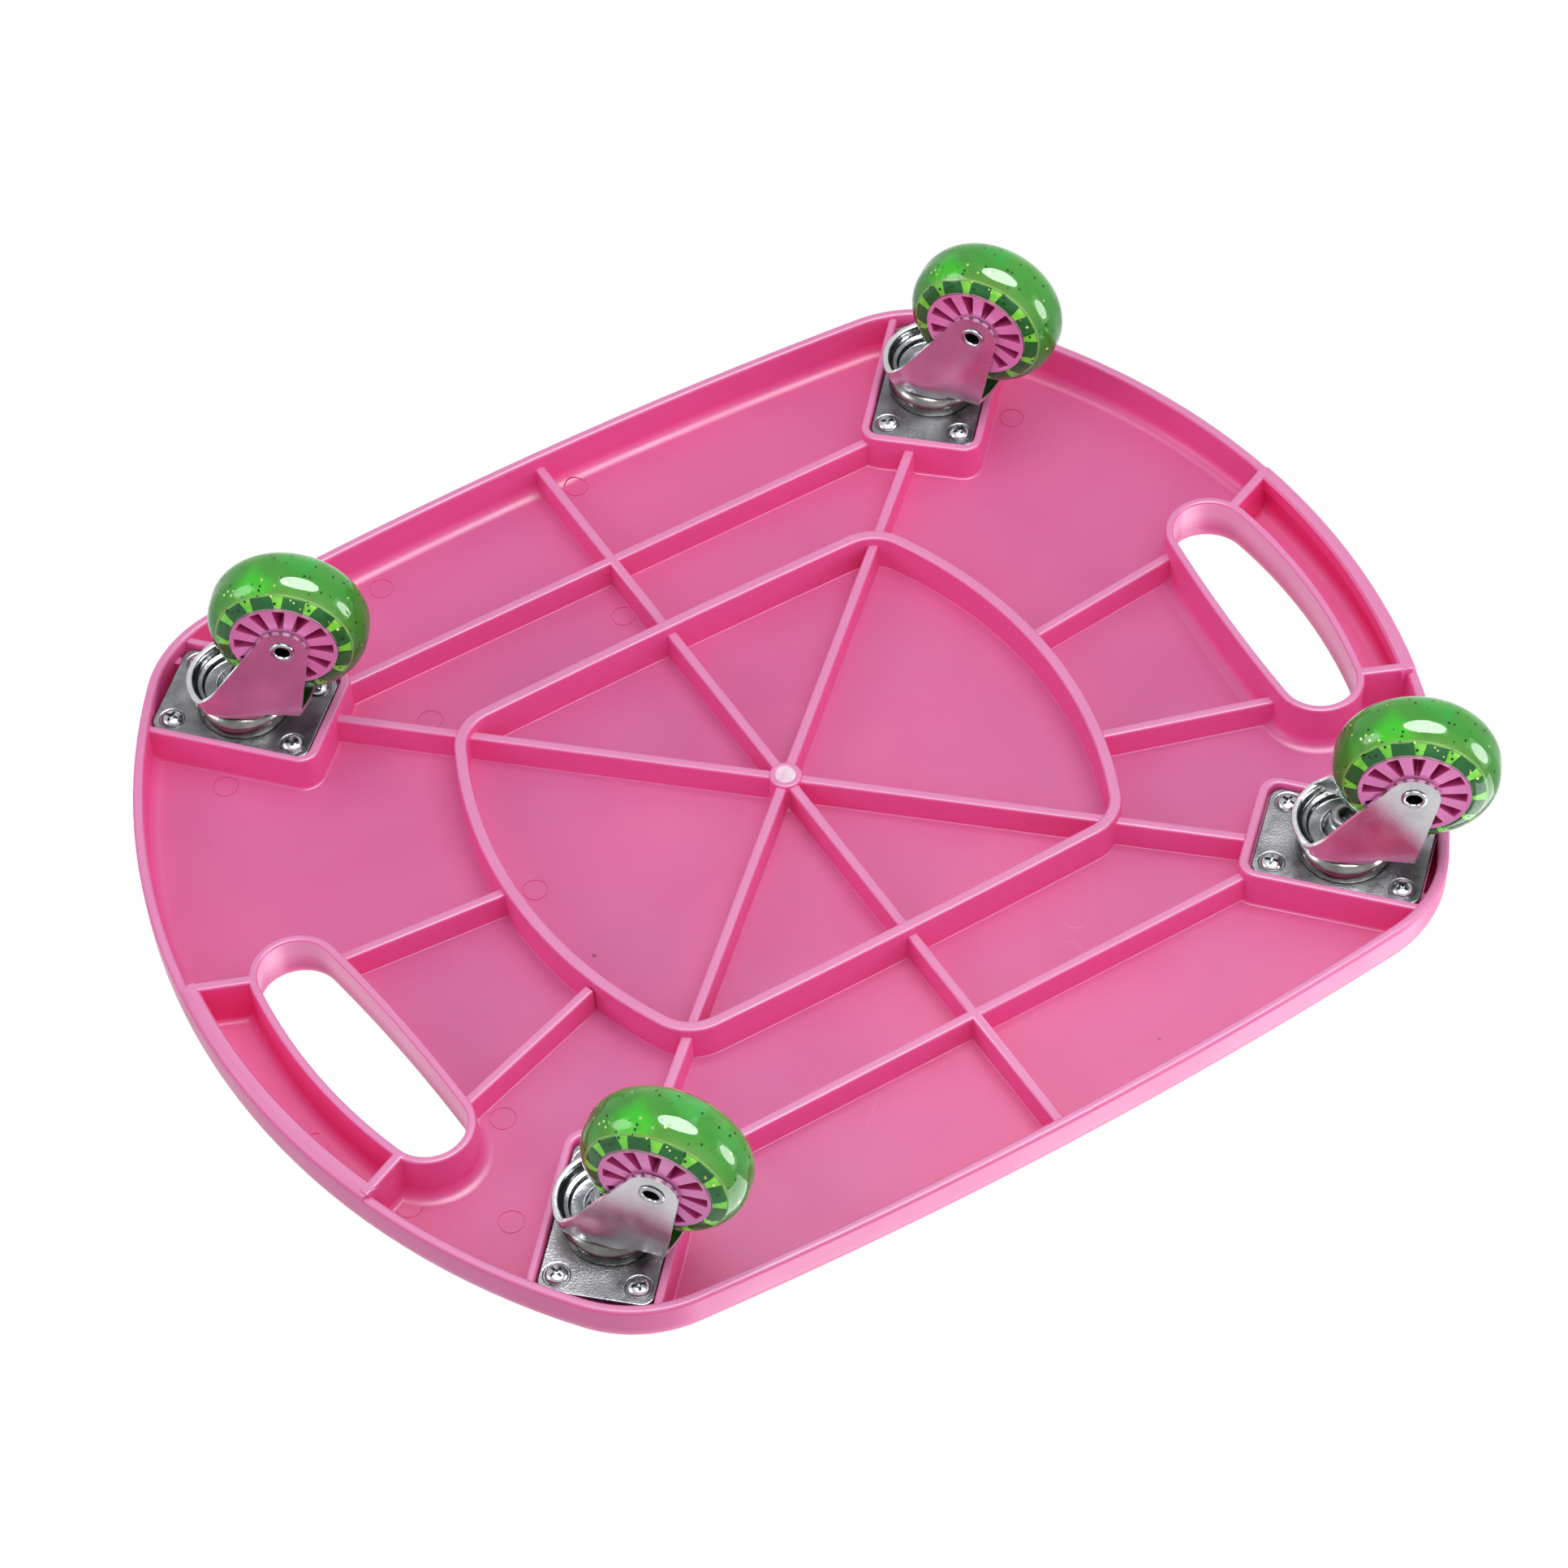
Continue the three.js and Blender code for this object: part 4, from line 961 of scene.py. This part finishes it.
def mixed(tree, share, first, colour):
    """The first colour, with a share of the given one."""
    inputs = {"Factor": share, "A": first, "B": (*colour, 1)}
    return new_node(tree, "Mix", inputs, data_type="RGBA").outputs["Result"]


def span(tree, source, given, wanted):
    (low, high), (start, end) = given, wanted
    inputs = {"From Min": low, "From Max": high, "To Min": start, "To Max": end, "Value": source}
    return new_node(tree, "MapRange", inputs).outputs["Result"]


def bump(tree, bsdf, height, strength, distance):
    node = new_node(tree, "Bump", {"Strength": strength, "Distance": distance, "Height": height})
    previous = bsdf.inputs["Normal"].links
    if previous:
        feed(tree, node.inputs["Normal"], previous[0].from_socket)
    feed(tree, bsdf.inputs["Normal"], node.outputs["Normal"])


def moulded_plastic(name, colour, deep, roughness, marks=False):
    """Polypropylene: flow clouding, fine grain and a satin gloss, and where asked, scratches and specks."""
    material, tree, bsdf = new_material(name, {
        "IOR": 1.37, "Subsurface Weight": 0.15,
        "Subsurface Radius": (1.0, 0.25, 0.45), "Subsurface Scale": 0.002})
    tint = ramp(tree, noise(tree, scale=9), [(0.34, deep), (0.66, colour)])
    if marks:
        line = maths(tree, "COMPARE", noise(tree, scale=26, detail=0), 0.5, SCRATCH_WIDTH)
        some = ramp(tree, noise(tree, scale=14, detail=1), [(0.64, 0.0), (0.70, 0.3)])
        tint = mixed(tree, maths(tree, "MULTIPLY", line, some), tint, SCRATCH_PINK)
        dots = new_node(tree, "TexVoronoi", {"Scale": 42, "Vector": coordinates(tree)}).outputs
        dot = ramp(tree, dots["Distance"], [(0.022, 1.0), (0.034, 0.0)])
        few = ramp(tree, dots["Color"], [(0.62, 0.0), (0.64, 0.75)])
        tint = mixed(tree, maths(tree, "MULTIPLY", dot, few), tint, SPECK)
    feed(tree, bsdf.inputs["Base Color"], tint)
    gloss = ramp(tree, noise(tree, scale=45, detail=3), [(0.0, roughness - 0.14), (1.0, roughness + 0.14)])
    feed(tree, bsdf.inputs["Roughness"], gloss)
    bump(tree, bsdf, noise(tree, scale=900), 0.12, 0.00012)
    bump(tree, bsdf, noise(tree, scale=22, detail=1), 0.10, 0.0012)
    return material, tree, bsdf


def metal(name, dark, light, rough, grain_size, grain_strength, scratches=0.0):
    """Plated steel: clouded colour, a grain and fine scratches."""
    material, tree, bsdf = new_material(name, {"Metallic": 1})
    clouds = noise(tree, scale=70, detail=4, roughness=0.6)
    feed(tree, bsdf.inputs["Base Color"], ramp(tree, clouds, [(0.3, dark), (0.7, light)]))
    gloss = noise(tree, scale=260, detail=3, roughness=0.6)
    middle, spread = (rough[0] + rough[1]) / 2, rough[1] - rough[0]
    feed(tree, bsdf.inputs["Roughness"], ramp(tree, gloss, [(0.0, middle - spread), (1.0, middle + spread)]))
    bump(tree, bsdf, noise(tree, scale=grain_size), grain_strength, 0.0002)
    bump(tree, bsdf, noise(tree, scale=60, detail=1), 0.05, 0.001)
    if scratches:
        stretch = new_node(tree, "Mapping", {"Scale": (1, 60, 3), "Vector": coordinates(tree)})
        bump(tree, bsdf, noise(tree, scale=30, where=stretch.outputs["Vector"]), scratches, 0.0003)
    return material


def clear_urethane():
    """Clear green cast tyre: gloss on the outside and absorption inside."""
    material, tree, bsdf = new_material("tyre urethane", {
        "Base Color": (0.97, 1.0, 0.96, 1), "Transmission Weight": 1, "IOR": 1.4})
    gloss = ramp(tree, noise(tree, scale=60, detail=3), [(0.0, 0.0), (1.0, 0.07)])
    feed(tree, bsdf.inputs["Roughness"], gloss)
    bump(tree, bsdf, noise(tree, scale=40, detail=1), 0.04, 0.001)
    inside = new_node(tree, "VolumeAbsorption", {"Color": (0.03, 0.84, 0.18, 1), "Density": 205})
    feed(tree, tree.nodes["Material Output"].inputs["Volume"], inside.outputs[0])
    return material


def tinted(name, stops, scale, detail=2.0, **inputs):
    """Colours that run into each other, as in a cloudy casting."""
    settings = {socket.replace("_", " "): value for socket, value in inputs.items()}
    material, tree, bsdf = new_material(name, settings)
    feed(tree, bsdf.inputs["Base Color"], ramp(tree, noise(tree, scale, detail), stops))
    return material


def paint_lip_highlight_and_wall_shade(tree, bsdf, lip, wall):
    """Painted highlight and shade: the lips of ribs and walls that face the ground are painted paler than the
    panel, and their sides are painted deeper.
    """
    level = new_node(tree, "SeparateXYZ", {0: coordinates(tree)}).outputs["Z"]
    facing = new_node(tree, "SeparateXYZ", {0: coordinates(tree, "Normal")}).outputs["Z"]
    below = maths(tree, "LESS_THAN", level, (PANEL_Z - 2) * MM)
    base = bsdf.inputs["Base Color"].links[0].from_socket
    base = mixed(tree, span(tree, facing, (-0.92, -0.3), (0, 1)), base, wall)
    lip_highlight_share = span(tree, facing, (-0.5, -0.95), (0, 0.7))
    feed(tree, bsdf.inputs["Base Color"], mixed(tree, maths(tree, "MULTIPLY", below, lip_highlight_share), base, lip))


def paint_backlight_glow(tree, bsdf, pale):
    """Painted backlight glow: the slots' thin insides are painted pale up to where they round over to the
    top.
    """
    level = new_node(tree, "SeparateXYZ", {0: coordinates(tree)}).outputs["Z"]
    edge = TOP_Z - SLOT_EDGE_RADIUS
    share = span(tree, level, ((edge - 0.5) * MM, (edge - 6) * MM), (0, 0.85))
    base = bsdf.inputs["Base Color"]
    feed(tree, base, mixed(tree, share, base.links[0].from_socket, pale))


PINK = (0.77, 0.135, 0.36)
PINK_DEEP = (0.64, 0.120, 0.345)
# Painted light: a paler pink for the outside faces and the top
OUTSIDE_LIT_PINK = (0.75, 0.165, 0.39)
OUTSIDE_LIT_PINK_DEEP = (0.71, 0.145, 0.36)
# Painted light: a brighter pink for the pockets between the hand slots and the rim
POCKET_LIGHT_PINK = (0.96, 0.22, 0.55)
POCKET_LIGHT_PINK_DEEP = (0.91, 0.19, 0.50)
# Painted highlight for lips that face the ground, and painted shade for the walls' sides, deeper in the
# pockets
LIP_HIGHLIGHT_PINK = (0.82, 0.30, 0.55)
WALL_SHADE_PINK = (0.86, 0.105, 0.355)
POCKET_WALL_SHADE_PINK = (0.92, 0.07, 0.31)
# Painted glow of backlight on the slots' thin insides
BACKLIGHT_GLOW_PINK = (0.90, 0.36, 0.60)
HUB_PINK = (0.82, 0.26, 0.58)
HUB_PINK_DEEP = (0.78, 0.235, 0.545)
SCRATCH_PINK = (0.86, 0.36, 0.60)
SCRATCH_WIDTH = 0.0016
SPECK = (0.16, 0.02, 0.03)


def deck_materials():
    inner, tree, bsdf = moulded_plastic("deck plastic", PINK, PINK_DEEP, 0.40, marks=True)
    # Painted highlight on the lips and painted shade on the walls' sides
    paint_lip_highlight_and_wall_shade(tree, bsdf, LIP_HIGHLIGHT_PINK, WALL_SHADE_PINK)
    # Painted light: a paler copy of the plastic for the outside faces and the top, free of the painted wall
    # shade
    outer = moulded_plastic("outer plastic painted lit copy", OUTSIDE_LIT_PINK, OUTSIDE_LIT_PINK_DEEP, 0.36)[0]
    # Painted light and shade in the pockets: a brighter copy of the plastic, with the painted lip highlight
    # and a deeper painted wall shade
    pocket, tree, bsdf = moulded_plastic("pocket plastic painted light", POCKET_LIGHT_PINK, POCKET_LIGHT_PINK_DEEP, 0.36)
    paint_lip_highlight_and_wall_shade(tree, bsdf, LIP_HIGHLIGHT_PINK, POCKET_WALL_SHADE_PINK)
    # Painted backlight glow on the slots' insides
    slot, tree, bsdf = moulded_plastic("slot plastic painted glow", PINK, PINK_DEEP, 0.34)
    paint_backlight_glow(tree, bsdf, BACKLIGHT_GLOW_PINK)
    gate = tinted("gate mark", [(0.3, (0.78, 0.46, 0.62)), (0.7, (0.90, 0.70, 0.80))], 300, Roughness=0.4)
    return inner, outer, slot, pocket, gate


def plate_pieces():
    """The plate's own pieces: plate, screw, race and kingpin."""
    bright = metal("bright zinc", (0.26, 0.26, 0.28), (0.55, 0.55, 0.56), (0.12, 0.24), 900, 0.2)
    satin = metal("satin zinc", (0.10, 0.10, 0.11), (0.27, 0.27, 0.28), (0.24, 0.38), 1600, 0.5)
    # Painted shade: a dark steel for the screws' cross recesses and the underside of the fork's cup
    shade = metal("painted shade steel", (0.10, 0.11, 0.12), (0.34, 0.35, 0.36), (0.14, 0.30), 900, 0.3)
    ring = metal("ring steel", (0.08, 0.078, 0.07), (0.26, 0.255, 0.25), (0.16, 0.28), 900, 0.3)
    plate = pattern(plate_mesh(), satin)
    screw = pattern(screw_mesh(), bright, 28)
    # Painted shade in the screw's cross recess
    paint(screw, shade, lambda middle, normal: (
        hypot(middle.x, middle.y) < 2.4 and (abs(normal.z) < 0.7 or middle.z > SCREW_CROWN_Z + 1)))
    return plate, screw, pattern(race_mesh(), ring, 50), pattern(kingpin_mesh(), satin, 50), bright, shade


def fork_pattern(shade):
    chrome = metal("chrome", (0.48, 0.48, 0.50), (0.64, 0.64, 0.65), (0.17, 0.25), 700, 0.08, 0.08)
    # Painted highlight: a brighter steel for the legs' bevelled edges
    edge = metal("edge painted highlight", (0.72, 0.72, 0.74), (0.90, 0.90, 0.91), (0.22, 0.30), 700, 0.05)
    fork = pattern(fork_mesh(), chrome, 44)
    # Painted shade on the cup's underside between the legs
    paint(fork, shade, lambda middle, normal: (
        hypot(middle.x, middle.y) < 15.2 and abs(middle.y) < LEG_INNER - 0.2 and normal.z < -0.02))
    # Painted highlight along the legs' bevelled edges
    paint(fork, edge, lambda middle, normal: abs(normal.y) < 0.85 and abs(middle.y) > LEG_INNER - 0.1 and (
        middle.z < CUP_Z - CUP_DROP - 1 or middle.z > HEEL_Z - 1.5))
    return fork


def hub_pattern():
    hub = pattern(hub_mesh(), moulded_plastic("hub plastic", HUB_PINK, HUB_PINK_DEEP, 0.32)[0], 30)
    # Painted shade: the lugs inside the tyre are painted dark green, as they look shaded through it
    lug_shade_greens = [(0.3, (0.0, 0.085, 0.012)), (0.7, (0.0, 0.15, 0.025))]
    # Painted shade: deep magenta inside the hub's slots
    slot_shade_pinks = [(0.3, (0.50, 0.035, 0.20)), (0.7, (0.62, 0.06, 0.28))]
    lug_painted_shade = tinted("lug painted shade green", lug_shade_greens, 120, Roughness=0.9)
    slot_painted_shade = tinted("slot painted shade pink", slot_shade_pinks, 200, Roughness=0.5)
    # Painted shade inside the hub's slots
    paint(hub, slot_painted_shade, lambda middle, normal: abs(middle.y) < HUB_HALF - 0.2 and (
        HUB_SLOT_INNER + 0.1 < hypot(middle.x, middle.z) < HUB_SLOT_OUTER + 0.4))
    # Painted shade on the lugs
    paint(hub, lug_painted_shade, lambda middle, normal: hypot(middle.x, middle.z) > HUB_RADIUS + 0.4)
    return hub


def core_pattern():
    olive = [(0.30, (0.05, 0.42, 0.22)), (0.44, (0.19, 0.28, 0.08)),
             (0.60, (0.25, 0.29, 0.09)), (0.74, (0.20, 0.56, 0.05))]
    # Painted light: a bright yellow-green glow on the core's sides between the lugs, for light let in through
    # the tread
    painted_glow_lime = tinted("painted_glow_lime", [(0.35, (0.26, 0.66, 0.05)), (0.65, (0.52, 0.86, 0.10))], 220, Roughness=0.3)
    tan = tinted("tan line", [(0.3, (0.26, 0.34, 0.10)), (0.7, (0.36, 0.42, 0.14))], 200, Roughness=0.5)
    core = pattern(core_mesh(), tinted("green core", olive, 42, Roughness=0.12))
    # Painted glow of light between the lugs
    paint(core, painted_glow_lime, lambda middle, normal: abs(normal.y) > 0.9 and hypot(middle.x, middle.z) < LUG_RADIUS)
    paint(core, tan, lambda middle, normal: 0.3 < abs(normal.y) < 0.9)
    return core


def flake_pattern(name, colour, count, seed, size, thick, metallic, rough):
    stops = [(0.3, tuple(0.6 * c for c in colour)), (0.7, colour)]
    finish = tinted(name, stops, 300, 1.0, Metallic=metallic, Roughness=rough, Specular_IOR_Level=0.1)
    return pattern(flakes_mesh(count, seed, size, thick), finish, 20)


def build_casters():
    plate, screw, race, kingpin, bright, shade = plate_pieces()
    fork = fork_pattern(shade)
    axle = pattern(axle_mesh(), bright, 60)
    hub, core = hub_pattern(), core_pattern()
    tyre = pattern(tyre_mesh(), clear_urethane(), 60)
    dark = flake_pattern("dark flakes", (0.01, 0.02, 0.01), 150, 7, 0.44, 0.05, metallic=0, rough=0.5)
    gold = flake_pattern("bright flakes", (0.95, 0.85, 0.35), 80, 19, 0.42, 0.04, metallic=1, rough=0.25)
    for corner in CORNERS:
        name = corner["name"]
        frames = (corner_frame, swivel_frame, wheel_frame)
        fixed, swivel, wheel = [in_metres(place(corner)) for place in frames]
        spun = wheel @ Matrix.Rotation(radians(corner["spin"]), 4, "Y")
        rows = (
            (plate, "plate_", fixed, "", "plate_steel", "mount_plate_"),
            (race, "race_ring_", fixed, "", "plated_steel", "ball_race_"),
            (kingpin, "swivel_pin_", fixed, "", "plated_steel", "kingpin_"),
            (fork, "fork_shell_", swivel, "swivel_", "chrome", "fork_"),
            (axle, "rivet_", wheel, "swivel_", "chrome", "axle_rivet_"),
            (hub, "hub_", spun, "wheel_", "hub_plastic", "wheel_hub_"),
            (tyre, "clear_tyre_", wheel, "wheel_", "tyre_urethane", "tyre_"),
            (core, "tyre_core_", spun, "wheel_", "tyre_urethane"),
            (dark, "dark_flakes_", wheel, "wheel_", "tyre_urethane"),
            (gold, "bright_flakes_", wheel, "wheel_", "tyre_urethane"),
        )
        for mesh, piece, place, body, slot, *nodes in rows:
            nodes = [node + name for node in nodes]
            put(mesh, piece + name, place, body + name if body else "board", slot, *nodes)
        for i, (a, b) in enumerate(screw_places()):
            turn = Matrix.Rotation(1.1 * i + corner["swivel"], 4, "Z")
            place = fixed @ Matrix.Translation((a * MM, b * MM, 0)) @ turn
            put(screw, f"pan_screw_{i + 1}_{name}", place, "board", "chrome", f"screw_{i + 1}_{name}")
        for node in ("axle_spacer_", "bearing_left_", "bearing_right_"):
            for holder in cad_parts[node + name].material_slots:
                holder.material = bright


# Stage, light and camera

OBJECT_MIDDLE = Vector((0, 0, 0.05))
AMBIENT = 0.52
UPRIGHT, LENGTHWISE = (0, 0, 1), (1, 0, 0)

# Soft boxes: name, place, the line its long side follows, size, watts, and whether only gloss shows it
LAMPS = (
    ("overhead", (0.2, 0.2, -1.3), CAMERA_RIGHT, (1.4, 1.0), 7.5, False),
    ("right", (1.1, 1.0, -0.12), UPRIGHT, (1.0, 0.9), 6, False),
    ("left", (-1.3, -0.5, -0.65), UPRIGHT, (0.8, 0.8), 4.5, False),
    ("front", (-0.3, 1.6, -0.5), LENGTHWISE, (1.4, 0.9), 1.9, False),
    ("top", (0.7, 1.1, 1.4), LENGTHWISE, (1.4, 1.4), 22, False),
    ("overhead gloss", (0.2, 0.2, -1.29), CAMERA_RIGHT, (1.3, 1.1), 75, True),
    ("right gloss", (1.09, 0.99, -0.12), UPRIGHT, (0.75, 0.75), 17, True),
    ("left gloss", (-1.29, -0.49, -0.64), UPRIGHT, (0.7, 0.7), 5, True),
)


def area_lamp(name, place, along, size, power, gloss_only):
    light = bpy.data.lights.new(name, "AREA")
    light.shape = "ELLIPSE" if gloss_only else "RECTANGLE"
    light.size, light.size_y = size
    light.energy = power
    back = (Vector(place) - OBJECT_MIDDLE).normalized()
    right = Vector(along)
    right = (right - back * back.dot(right)).normalized()
    lamp = shown(name, light)
    turn = Matrix((right, back.cross(right), back)).transposed().to_4x4()
    lamp.matrix_world = Matrix.Translation(place) @ turn
    lamp.visible_camera = False
    lamp.visible_diffuse = lamp.visible_transmission = not gloss_only


def build_floor():
    """A pale floor that only a camera above it sees, so that the view from below looks past it."""
    floor = mesh_object("floor", [(-4, -4, 0), (4, -4, 0), (4, 4, 0), (-4, 4, 0)], [(0, 1, 2, 3)])
    material, tree, bsdf = new_material("floor", {"Base Color": (0.86, 0.86, 0.87, 1), "Roughness": 0.7})
    seen = new_node(tree, "LightPath").outputs["Is Camera Ray"]
    below = new_node(tree, "NewGeometry").outputs["Backfacing"]
    front = maths(tree, "SUBTRACT", seen, below, clamp=True)
    clear = new_node(tree, "BsdfTransparent").outputs[0]
    mix = new_node(tree, "MixShader", {"Fac": front, 1: clear, 2: bsdf.outputs[0]})
    feed(tree, tree.nodes["Material Output"].inputs["Surface"], mix.outputs[0])
    floor.data.materials.append(material)


def build_world():
    """White to the camera, to gloss and through glass, and a softer grey as light."""
    world = bpy.data.worlds.new("studio")
    bpy.context.scene.world = world
    world.use_nodes = True
    tree = world.node_tree
    path = new_node(tree, "LightPath").outputs
    seen = maths(tree, "MAXIMUM", path["Is Camera Ray"], path["Is Glossy Ray"])
    seen = maths(tree, "MAXIMUM", seen, path["Is Transmission Ray"])
    level = new_node(tree, "Mix", {"Factor": seen, "A": AMBIENT, "B": 1.0}, data_type="FLOAT")
    background = tree.nodes["Background"].inputs
    feed(tree, background["Strength"], level.outputs["Result"])
    background["Color"].default_value = (1, 1, 1, 1)


def build_camera():
    data = bpy.data.cameras.new("camera")
    data.lens = CAMERA_LENS
    data.sensor_width = SENSOR
    data.clip_start, data.clip_end = 0.05, 20
    camera = shown("camera", data)
    right, up = CAMERA_RIGHT.normalized(), -CAMERA_DOWN.normalized()
    turn = Matrix((right, up, right.cross(up))).transposed().to_4x4()
    camera.matrix_world = Matrix.Translation(CAMERA_PLACE * MM) @ turn
    bpy.context.scene.camera = camera


build_deck(*deck_materials())
build_casters()
build_floor()
build_world()
for lamp in LAMPS:
    area_lamp(*lamp)
build_camera()
bpy.context.scene.view_settings.view_transform = "Standard"
